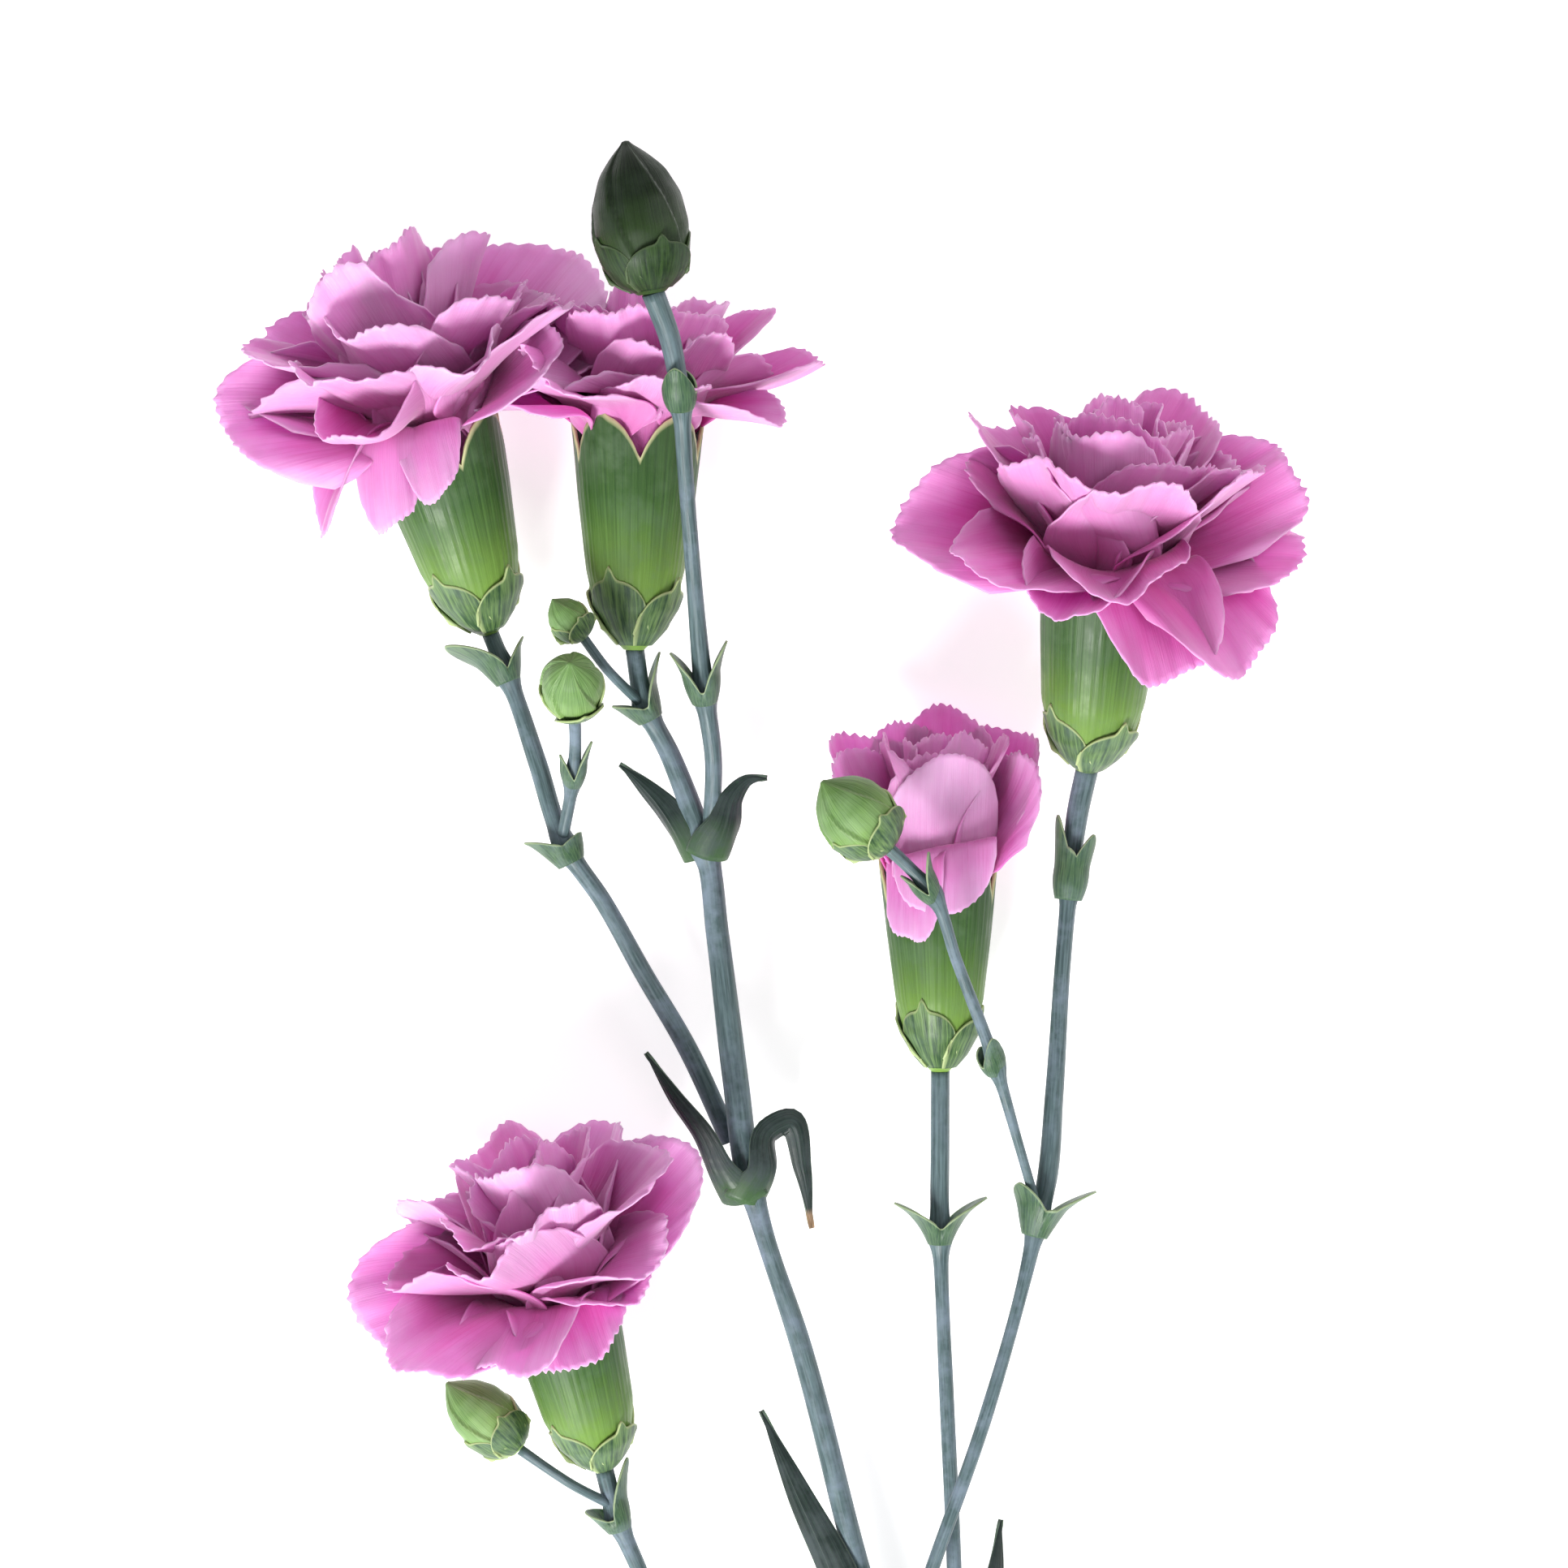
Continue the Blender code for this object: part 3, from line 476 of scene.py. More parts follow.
def build_stem(name):
    """Rings round the line: centre plus radius times (cosine along one side, sine along the other). Each
    joint adds a bell curve to the radius, with a fine groove where the next length of stem begins."""
    line = smooth_line(STEMS[name], STEM_STEP)
    centre, radius = line[:, :3], line[:, 3].copy()
    _, side, other = steady_sides(centre, (0.3, 0.0, 1.0))
    edge = np.zeros(len(line))
    for joint in JOINTS.get(name, ()):
        nearest = np.argmin(np.linalg.norm(centre[:, :2] - joint, axis=1))
        away = np.linalg.norm(centre - centre[nearest], axis=1) * np.sign(np.arange(len(line)) - nearest)
        radius += SWELLING * np.exp(-((away / SWELLING_REACH) ** 2))
        radius -= GROOVE * np.exp(-(((away - 1.0) / GROOVE_REACH) ** 2))
        edge = np.maximum(edge, 0.75 * np.exp(-(((away - 0.6) / 0.8) ** 2)))
    around = np.linspace(0.0, 2 * np.pi, STEM_COLUMNS, endpoint=False)
    rib = 1.0 + 0.025 * np.cos(4 * around)[None, :] + 0.012 * np.cos(9 * around + 1.0)[None, :]
    ring = side[:, None, :] * np.cos(around)[:, None] + other[:, None, :] * np.sin(around)[:, None]
    points = centre[:, None, :] + ring * (radius[:, None] * rib)[:, :, None]
    rim_in = centre[0] + (points[0] - centre[0]) * CUT_EDGE
    points = np.concatenate([rim_in[None], points])
    rows, shape = len(points), points.shape
    flat = np.concatenate([points.reshape(-1, 3), centre[:1], centre[-1:]])
    faces = [
        grid_faces(rows, STEM_COLUMNS, True),
        cap_faces(0, STEM_COLUMNS, rows * STEM_COLUMNS, False),
        cap_faces((rows - 1) * STEM_COLUMNS, STEM_COLUMNS, rows * STEM_COLUMNS + 1, True),
    ]
    distance = np.concatenate([[0.0], np.arange(len(line)) * STEM_STEP / 10.0])
    edge = np.concatenate([[1.0], edge])
    marks = {
        "along": on_grid(distance[:, None], shape, 0.0, distance[-1]),
        "across": on_grid(np.abs(np.sin(around / 2)), shape, 0.0, 0.0),
        "edge": on_grid(edge[:, None], shape, 1.0, 0.0),
    }
    mesh = make_mesh(name, above_table(flat, 0.05, 0.1), faces, marks)
    return place_piece(f"{name}_skin", mesh, [stem_green], [name])


for stem_name in STEMS:
    build_stem(stem_name)
print("stems built:", len(STEMS))

# %% [markdown]
# ## Flowers and their directions
#
# Everything in a flower is arranged round its own axis. Each flower therefore has a small frame: the foot of
# its calyx, the axis, a side to the right of someone who looks down on the table, and a side away from them.
# Azimuth 0 faces that person, and 90 degrees faces right.

# %% Feet, axes and sizes
FLOWERS = {
    "left_flower": {"foot": (-35.1, 88.4, 11.3), "axis": (-0.24, 0.93, 0.3), "calyx": (28, 6.4, 8.6)},
    "middle_flower": {"foot": (-17, 86.1, 15.8), "axis": (0.02, 0.99, 0.06), "calyx": (28.5, 6.2, 8.2)},
    "right_flower": {"foot": (39.2, 71.4, 9.6), "axis": (0.05, 0.91, 0.4), "calyx": (28, 6.6, 7.8)},
    "half_open_flower": {"foot": (20.9, 33.9, 10.1), "axis": (-0.01, 1, 0.05), "calyx": (26.5, 5.6, 7.4)},
    "low_flower": {"foot": (-21, -15.6, 9.4), "axis": (-0.21, 0.92, 0.32), "calyx": (25.5, 5.9, 7)},
}
# A bud's size is its length and radius, and cover is the share of the length that its bracts reach.
BUDS = {
    "tall_bud": {"foot": (-14.1, 127.5, 37.7), "axis": (-0.17, 0.97, 0.12), "size": (18, 5.7), "cover": 0.36},
    "round_bud": {"foot": (-24.1, 79.3, 23.4), "axis": (0.01, 0.42, 0.9), "size": (11, 3.8), "cover": 0.42},
    "small_bud": {
        "foot": (-22.9, 87.4, 22.6), "axis": (-0.58, 0.72, 0.36), "size": (6.2, 2.4), "cover": 0.55,
    },
    "right_bud": {"foot": (14, 61.9, 27.6), "axis": (-0.68, 0.68, 0.3), "size": (11.8, 4.6), "cover": 0.45},
    "low_bud": {
        "foot": (-31.3, -12.8, 11.8), "axis": (-0.73, 0.67, 0.05), "size": (12.2, 3.9), "cover": 0.42,
    },
}


def flower_frame(shape):
    """The foot, and a matrix whose rows are the right, away and axis directions."""
    up = Vector(shape["axis"]).normalized()
    right = up.cross(Vector((0.0, 0.0, 1.0))).normalized()
    return np.array(shape["foot"], float), np.array((right, up.cross(right), up))


def into_place(local, shape):
    """Local right, away and axis millimetres become places on the table."""
    foot, directions = flower_frame(shape)
    return foot + local @ directions


def round_the_axis(radius, azimuth, height):
    """Cylinder coordinates as local right, away and axis millimetres."""
    radius, azimuth, height = np.broadcast_arrays(radius, azimuth, height)
    return np.stack([radius * np.sin(azimuth), -radius * np.cos(azimuth), height], axis=-1)


def outward_gap(azimuth, centre):
    """The angle from centre to azimuth, between minus half a turn and half a turn."""
    return (azimuth - centre + np.pi) % (2 * np.pi) - np.pi


print("flowers:", len(FLOWERS), "buds:", len(BUDS))

# %% [markdown]
# ## Calyces
#
# The calyx is the green tube that holds the claws of the petals. It is a surface of revolution but for its
# five teeth, so its grid is turned round the axis and each column ends at its own height. The rim and the
# notches between the teeth are a thin cream skin.

# %% The tube with five teeth
CALYX_ROWS, CALYX_COLUMNS = 40, 150
CALYX_WALL = 0.45
CALYX_HEIGHTS = (0.0, 0.03, 0.08, 0.18, 0.34, 0.66, 1.0)
CALYX_FOOT = (0.20, 0.34, 0.54, 0.79, 0.97)
TEETH, TOOTH = 5, 5.2
FURROWS, FURROW = 42, 0.035
FLARE = 0.3


def calyx_radius(shape, height):
    """The tube's radius at a height above its foot, read from a table of shares of its waist."""
    length, waist, mouth = shape["calyx"]
    shares = (*CALYX_FOOT, 0.5 * (1.0 + mouth / waist), mouth / waist)
    return waist * np.interp(height / length, CALYX_HEIGHTS, shares)


def build_calyx(name, shape, turn):
    """Rows climb from the foot to a rim that falls from each tooth's broad crown to a narrow notch, by the
    distance aside from the crown to the power 2.3. The wall has shallow furrows along it."""
    rows, columns = CALYX_ROWS, CALYX_COLUMNS
    length = shape["calyx"][0]
    azimuth = np.linspace(0.0, 2 * np.pi, columns, endpoint=False)[None, :]
    share = np.linspace(0.0, 1.0, rows)[:, None]
    aside = 1.0 - np.abs((TEETH * (azimuth + turn) / (2 * np.pi)) % 1.0 - 0.5) * 2.0
    top = length - TOOTH * aside**2.3 + 0.7 * np.exp(-((aside / 0.16) ** 2))
    height = share * top
    furrows = FURROW * np.cos(FURROWS * azimuth) * smooth_step(share * 3.0)
    radius = calyx_radius(shape, height) + furrows
    radius = radius + FLARE * np.clip(height / length - 0.8, 0.0, None) * 5.0 * (1.0 - 2.0 * aside)
    local = round_the_axis(radius, azimuth, height)
    pole = np.array([[0.0, 0.0, -0.1]])
    points = into_place(np.concatenate([local.reshape(-1, 3), pole]), shape)
    faces = [grid_faces(rows, columns, True), cap_faces(0, columns, rows * columns, False)]
    rim = np.clip(1.0 - (top - height) / 2.6, 0.0, 1.0)
    marks = {
        "along": on_grid(height / length, local.shape, 0.0),
        "across": on_grid(np.abs(np.sin(azimuth / 2)), local.shape, 0.0),
        "edge": on_grid(rim, local.shape, 0.0),
    }
    mesh = make_mesh(name, above_table(points), faces, marks)
    return place_piece(f"{name}_tube", mesh, [calyx_green], [f"{name}_calyx"], wall=CALYX_WALL)


CALYX_TURNS = {
    "left_flower": 0.3, "middle_flower": 0.55, "right_flower": 0.1, "half_open_flower": 0.63,
    "low_flower": 0.2,
}
for flower_name, flower in FLOWERS.items():
    build_calyx(flower_name, flower, CALYX_TURNS[flower_name])
print("calyces built:", len(FLOWERS))

# %% [markdown]
# ## Bracts round each calyx and bud
#
# Four short, broad bracts clasp the foot of each calyx and overlap at their sides. Each ends in a short
# point and has a pale, papery margin. They are separate sheets on slightly larger radii than the tube below,
# the second pair outside the first.

# %% Overlapping bracts
BRACT_ROWS, BRACT_COLUMNS = 18, 33
BRACT_HALF_ANGLE, BRACT_WALL = 1.05, 0.28
# The two pairs: where each stands round the axis, how far it is lifted, and its share of the full height.
BRACT_TIERS = ((0.0, 0.55, 0.86), (np.pi / 2, 0.12, 1.0))


def bract_sheet(below, centre, foot, top, lift, point):
    """One bract: azimuth runs BRACT_HALF_ANGLE to each side of centre, and the rows climb from foot to a top
    that is rounded at the sides and drawn out to a point in the middle. below gives the radius under it."""
    v = np.linspace(-1.0, 1.0, BRACT_COLUMNS)[None, :]
    share = np.linspace(0.0, 1.0, BRACT_ROWS)[:, None]
    rounded = (1.0 - np.abs(v) ** 2.6) ** 0.6
    crest = foot + (top - foot) * (0.30 + 0.70 * rounded) + point * np.exp(-((v / 0.10) ** 2))
    height = foot + share * (crest - foot)
    narrow = 1.0 - 0.12 * share**2
    azimuth = centre + BRACT_HALF_ANGLE * v * narrow
    radius = below(height) + lift * (0.75 + 0.25 * share) + 0.15 * share**3 + 0.04 * np.abs(v) ** 3
    marks = {
        "along": on_grid(height / (top + 1e-9), height.shape),
        "across": on_grid(v * 0.5 + 0.5, height.shape),
        "edge": on_grid(np.maximum(np.abs(v) ** 1.8, share**7 * 0.95), height.shape),
    }
    return round_the_axis(radius, azimuth, height), marks


def build_bracts(name, shape, profile, length, cover, turn):
    """Four bracts as one mesh, on a calyx or a bud whose radius at a height is profile(shape, height). cover
    is the share of its length that they reach."""
    points, faces, marks = [], [], []
    for start, lift, tall in BRACT_TIERS:
        for side in (0.0, np.pi):
            sheet, sheet_marks = bract_sheet(
                lambda height: profile(shape, height), turn + start + side, 0.02 * length,
                length * cover * tall, lift, 0.06 * length,
            )
            faces.append(grid_faces(BRACT_ROWS, BRACT_COLUMNS) + len(points) * BRACT_ROWS * BRACT_COLUMNS)
            points.append(sheet.reshape(-1, 3))
            marks.append(sheet_marks)
    marks = {key: np.concatenate([each[key] for each in marks]) for key in marks[0]}
    points = above_table(into_place(np.concatenate(points), shape))
    mesh = make_mesh(name, points, [np.concatenate(faces)], marks)
    # The tall bud's bracts take the darker green that paints their shade.
    green = tall_bract_shaded_green if name == "tall_bud" else bract_green
    return place_piece(f"{name}_bract_ring", mesh, [green], [f"{name}_bracts"], wall=BRACT_WALL)


for flower_name, flower in FLOWERS.items():
    turn = 0.5 + CALYX_TURNS[flower_name]
    build_bracts(flower_name, flower, calyx_radius, flower["calyx"][0], 0.30, turn)
print("bract rings built:", len(FLOWERS))

# %% [markdown]
# ## Closed buds
#
# A carnation bud is a pointed egg. Its skin is the closed calyx: five sepals, each with one edge tucked under
# the next, in a slight twist. One closed surface shows this if its radius climbs slowly across each sepal
# and drops at once at the seam.

# %% The bud with its twisted seams
BUD_ROWS, BUD_COLUMNS = 56, 140
SEPALS, SEPAL_TWIST, SEPAL_STEP = 5, 0.9, 0.12
BUD_HEIGHTS = (0.0, 0.04, 0.10, 0.22, 0.42, 0.62, 0.80, 0.92, 0.98, 1.0)
BUD_RADII = (0.22, 0.50, 0.70, 0.90, 1.0, 0.93, 0.68, 0.34, 0.12, 0.03)
BUD_FINE = np.linspace(0.0, 1.0, 60)
BUD_SMOOTH = np.interp(BUD_FINE, BUD_HEIGHTS, BUD_RADII)
BUD_SMOOTH = np.convolve(np.pad(BUD_SMOOTH, 2, mode="edge"), np.ones(5) / 5, mode="valid")


def bud_profile(shape, height):
    """The bud's radius at a height above its foot."""
    length, radius = shape["size"]
    return radius * np.interp(height / length, BUD_FINE, BUD_SMOOTH)


def build_bud(name, shape):
    """Rows climb from the foot to the tip. The seams' places turn with height, and the step at each seam
    is deepest above the bracts."""
    rows, columns, length = BUD_ROWS, BUD_COLUMNS, shape["size"][0]
    azimuth = np.linspace(0.0, 2 * np.pi, columns, endpoint=False)[None, :]
    share = np.linspace(0.0, 1.0, rows)[:, None] ** 0.85
    sepal = (SEPALS * (azimuth + SEPAL_TWIST * share) / (2 * np.pi)) % 1.0
    climb = (sepal - 0.5) * (1.0 - smooth_step((sepal - 0.93) / 0.07))
    wall = bud_profile(shape, share * length) * (1.0 + SEPAL_STEP * climb * smooth_step(share * 2.5))
    local = round_the_axis(wall, azimuth, share * length)
    poles = np.array([[0.0, 0.0, -0.1], [0.0, 0.0, length + 0.1]])
    points = into_place(np.concatenate([local.reshape(-1, 3), poles]), shape)
    faces = [
        grid_faces(rows, columns, True),
        cap_faces(0, columns, rows * columns, False),
        cap_faces((rows - 1) * columns, columns, rows * columns + 1, True),
    ]
    seam = np.maximum(smooth_step((sepal - 0.8) / 0.15) * (1 - smooth_step((sepal - 0.96) / 0.04)), 0.0)
    marks = {
        "along": on_grid(share, wall.shape, 0.0, 1.0),
        "across": on_grid(np.abs(np.sin(azimuth / 2)), wall.shape, 0.0, 0.0),
        "edge": on_grid(seam * 0.8, wall.shape, 0.0, 0.0),
    }
    mesh = make_mesh(name, points, faces, marks)
    # The tall bud takes the darker green that paints its shade.
    green = tall_bud_shaded_green if name == "tall_bud" else bud_green
    return place_piece(f"{name}_sepals", mesh, [green], [name])


for bud_name, bud in BUDS.items():
    build_bud(bud_name, bud)
    build_bracts(bud_name, bud, bud_profile, bud["size"][0], bud["cover"], 0.4)
print("buds built:", len(BUDS))

# %% [markdown]
# ## Small bract pairs at the joints
#
# Each joint of a thin stem carries two small bracts that are joined at the foot into a short collar. The
# collar is a ring. Where a bract rises, the ring is drawn up into a narrow triangle whose tip may curl
# outward. One grid makes collar and bracts together, because they are one piece of skin.

# %% Collars drawn up into two bracts
# Name, foot, axis, radius and height of the collar, then for each of two bracts its azimuth in degrees, its
# length and its outward curl.
BRACT_PAIRS = [
    ("under_left_flower", (-32.7, 82.2, 11.3), (-0.37, 0.93, 0), 1.95, 1.6, (-62, 6.8, 4.2), (95, 4.6, 1.8)),
    ("left_fork", (-24.9, 59.8, 11), (-0.45, 0.88, 0.05), 2.1, 2.2, (-75, 4.8, 2), (60, 3, 0.6)),
    ("under_middle_flower", (-15, 77.6, 14.6), (-0.45, 0.87, 0.18), 2, 1.8, (-80, 3.6, 1.4), (90, 6.8, 2.8)),
    ("tall_bud_low", (-8.2, 79.6, 20), (-0.1, 0.91, 0.38), 1.95, 2, (-85, 6.9, 1.5), (80, 7.8, 1.6)),
    ("tall_bud_high", (-10.8, 114.2, 33), (-0.06, 0.91, 0.38), 1.85, 2.2, (-10, 5.8, 0.3), (170, 4.4, 0.3)),
    ("round_bud_twig", (-24.5, 69.4, 15.4), (0.07, 0.86, 0.52), 1.4, 1.6, (-70, 4.6, 0.4), (85, 6.6, 0.6)),
    ("right_fork", (32.5, 13.6, 12), (0.22, 0.97, 0), 2, 2, (-50, 6.2, 2.4), (85, 7, 4.2)),
    ("under_right_flower", (36.8, 55.2, 10.1), (0.1, 0.99, 0), 2.05, 2.2, (-70, 10.4, 0.4), (55, 8.4, 0.7)),
    ("right_bud_low", (27.4, 34.2, 20), (-0.28, 0.9, 0.3), 1.4, 1.6, (25, 5.2, 0.2), (-150, 3.4, 0.3)),
    ("right_bud_high", (19.6, 55.6, 25.6), (-0.5, 0.82, 0.28), 1.4, 1.4, (-90, 4.8, 0.5), (70, 5.8, 1.1)),
    ("half_open_branch", (20.9, 12.2, 8.1), (0, 1, 0.05), 1.85, 2.2, (-78, 5.2, 3.9), (85, 5.8, 4)),
    ("low_fork", (-19, -23.4, 8.9), (-0.3, 0.95, 0.05), 1.85, 1.8, (-100, 3.4, 1.5), (75, 8.6, 2)),
]
PAIR_ROWS, PAIR_COLUMNS, PAIR_WALL = 22, 96, 0.26


def build_pair(name, foot, axis, ring, collar, *bracts):
    """Height is the share climbed times the collar's height, plus a triangle at each bract. Radius grows by
    the square of the share climbed, times that bract's curl."""
    azimuth = np.linspace(0.0, 2 * np.pi, PAIR_COLUMNS, endpoint=False)[None, :]
    share = np.linspace(0.0, 1.0, PAIR_ROWS)[:, None]
    height = np.full_like(azimuth, collar)
    spread, edge = np.zeros_like(azimuth), np.ones_like(azimuth)
    for bearing, reach, curl in bracts:
        away = np.abs(outward_gap(azimuth, math.radians(bearing))) / math.radians(78.0)
        rise = np.clip(1.0 - np.clip(away, 0.0, 1.0) ** 1.5, 0.0, 1.0)
        height = height + (reach - collar) * rise
        spread = spread + curl * np.clip(1.0 - away, 0.0, 1.0) ** 0.6
        edge = np.minimum(edge, np.clip(away, 0.0, 1.0) ** 1.5)
    keel = 0.18 * (1.0 - edge) * share
    belly = 0.22 * np.sin(np.pi * np.clip(share * height / (collar + 2.0), 0.0, 1.0))
    radius = ring - 0.35 * (1.0 - share) ** 3 + belly + spread * share**2.2 + keel
    local = round_the_axis(radius, azimuth, share * height)
    marks = {
        "along": on_grid(share, local.shape),
        "across": on_grid(np.abs(np.sin(azimuth / 2)), local.shape),
        "edge": np.maximum(smooth_step((share - 0.72) / 0.28) * edge**0.5, share**12 * 0.9),
    }
    points = above_table(into_place(local.reshape(-1, 3), {"foot": foot, "axis": axis}))
    mesh = make_mesh(f"bracts_{name}", points, [grid_faces(PAIR_ROWS, PAIR_COLUMNS, True)], marks)
    return place_piece(
        f"bracts_{name}_skin", mesh, [joint_green], [f"bracts_{name}"], wall=PAIR_WALL
    )


for pair in BRACT_PAIRS:
    build_pair(*pair)
print("bract pairs built:", len(BRACT_PAIRS))

# %% [markdown]
# ## Leaves
#
# A carnation's leaf is a long, narrow, waxy strip, folded into a shallow channel with a keel along its
# back. Its foot clasps the stem. A section is an arc that flattens towards the tip, and it is carried along
# the leaf's crest.

# %% Channelled strips
# Name, half width, clasp and turn in degrees, widening of the sheath, the share of the length at which it is
# dry (2 for never), the direction of its back, and its crest.
LEAVES = [
    ("leaf_fork_left", 2.1, 60, 25, 2, 2, (-0.75, -0.3, 0.7),
     [(-5.3, 17.2, 10.8), (-7.1, 21.4, 12.6), (-8.8, 25.8, 14), (-12.2, 31, 15), (-15.6, 36.4, 14.4)]),
    ("leaf_fork_right", 2.1, 55, -15, 1.8, 0.88, (0.75, 0.1, 0.65),
     [(-1.9, 17.3, 11.2), (-0.3, 21.6, 12.4), (-0.3, 26.2, 12.6), (2.1, 27.6, 12), (3.9, 21.6, 10),
      (5, 14.2, 8.4)]),
    ("leaf_joint_left", 2.3, 50, 20, 1.3, 2, (-0.7, -0.2, 0.6),
     [(-10.2, 59.9, 12.2), (-11.6, 63.2, 12.6), (-14, 67, 12), (-16.6, 69.8, 10.6), (-19, 72, 9.2)]),
    ("leaf_joint_right", 2.2, 55, -10, 1.3, 2, (0.5, 0, 0.8),
     [(-7, 60, 13.6), (-5.6, 64.2, 15.2), (-4.6, 68, 15.9), (-2.9, 70, 15.9), (-0.6, 70.3, 15.3)]),
    ("leaf_base_left", 3.3, 52, 25, 0.4, 2, (-0.6, -0.2, 0.75),
     [(13.4, -46.6, 7.4), (11, -38.6, 8.8), (7.2, -27.6, 9), (2.9, -18.4, 7.8), (-1.4, -9, 5.4)]),
    ("leaf_base_right", 2.8, 55, -25, 0.4, 2, (0.5, -0.4, 0.75),
     [(16.6, -46.4, 8.4), (19.5, -44.2, 10.4), (24.1, -40, 11.2), (27.1, -33, 10.8), (28.6, -22.2, 8.2)]),
    ("leaf_lower_left", 3, 52, 20, 0.4, 0.92, (-0.6, -0.2, 0.75),
     [(18.9, -74.6, 6.4), (15.6, -67.6, 7.8), (12.1, -61.6, 8), (7.3, -49.6, 7), (5.1, -38.6, 4.6)]),
    ("leaf_lower_right", 2.9, 52, -20, 0.4, 2, (0.5, -0.4, 0.75),
     [(21.3, -74.8, 6.6), (25.1, -72.4, 8), (30.1, -69, 8.2), (36.9, -58, 7.4), (39.5, -45, 4.2)]),
]
LEAF_STEP, LEAF_COLUMNS, LEAF_WALL = 0.6, 25, 0.35


def build_leaf(name, half_width, clasp, turn, sheath, dry, back, crest):
    """Each row is an arc about the crest: its radius of bend is half the width over the sine of half its
    angle. The width falls to a fine point. The foot is wider and more tightly curled, which makes the
    sheath, and a small keel runs down the middle of the back."""
    line = smooth_line(crest, LEAF_STEP)
    _, back, side = steady_sides(line, back)
    share = np.linspace(0.0, 1.0, len(line))[:, None]
    distance = LEAF_STEP * np.arange(len(line))[:, None]
    turn = np.radians(turn) * share
    back, side = back * np.cos(turn) + side * np.sin(turn), side * np.cos(turn) - back * np.sin(turn)
    v = np.linspace(-1.0, 1.0, LEAF_COLUMNS)[None, :]
    foot = np.exp(-((distance / 5.0) ** 2))
    half = half_width * (1.0 - share**2.4) * (0.80 + 0.75 * share * (1.0 - share)) + 0.04
    half = (half + sheath * foot) * (1.0 + 0.03 * np.sin(14.0 * share + 2.0 * v))
    clasp = np.radians(clasp * (1.0 - 0.5 * share) + 26.0 * foot)
    bend = half / np.sin(clasp)
    arc = clasp * v
    keel = 0.15 * half * np.exp(-((v / 0.09) ** 2)) * (1.0 - foot) - 0.04 * np.cos(9.0 * v)
    points = (
        line[:, None, :]
        + side[:, None, :] * (bend * np.sin(arc))[:, :, None]
        + back[:, None, :] * (bend * (np.cos(arc) - 1.0) + keel)[:, :, None]
    )
    marks = {
        "along": on_grid(np.clip(0.1 + distance / 11.0, 0.0, 1.0), points.shape),
        "across": on_grid(v * 0.5 + 0.5, points.shape),
        "edge": on_grid(np.abs(v) ** 8, points.shape),
        "dry": on_grid(smooth_step((share - dry) / 0.08), points.shape),
    }
    mesh = make_mesh(name, above_table(points.reshape(-1, 3)), [grid_faces(len(line), LEAF_COLUMNS)], marks)
    return place_piece(f"{name}_blade", mesh, [leaf_green], [name], wall=LEAF_WALL)


for leaf in LEAVES:
    build_leaf(*leaf)
print("leaves built:", len(LEAVES))

# %% [markdown]
# ## Petals
#
# A petal has a narrow claw inside the calyx and a broad fan-shaped limb with a finely toothed margin. The
# flower opens because the limbs bend outward over the rim of the calyx, and it looks full because each limb
# is wider than the room it has, so it ruffles.
#
# A petal is laid out flat first: rows from claw to margin, columns across. Its midline then bends from
# upright to its final lean, and cups, folds and ruffles push points off that curve along its normal. The
# outer petals lean most and are longest. The inner ones are short, upright and crumpled.

# %% One petal
PETAL_ROWS, PETAL_COLUMNS, PETAL_WALL = 28, 65, 0.22
TOOTH_PATTERN, TOOTH_LENGTH = (1.0, 0.5, -0.3, 0.4), 0.6
MIDLINE_STEPS, MIDLINE_REACH = 240, 1.2
MOUTH_BELOW_RIM = 2.0


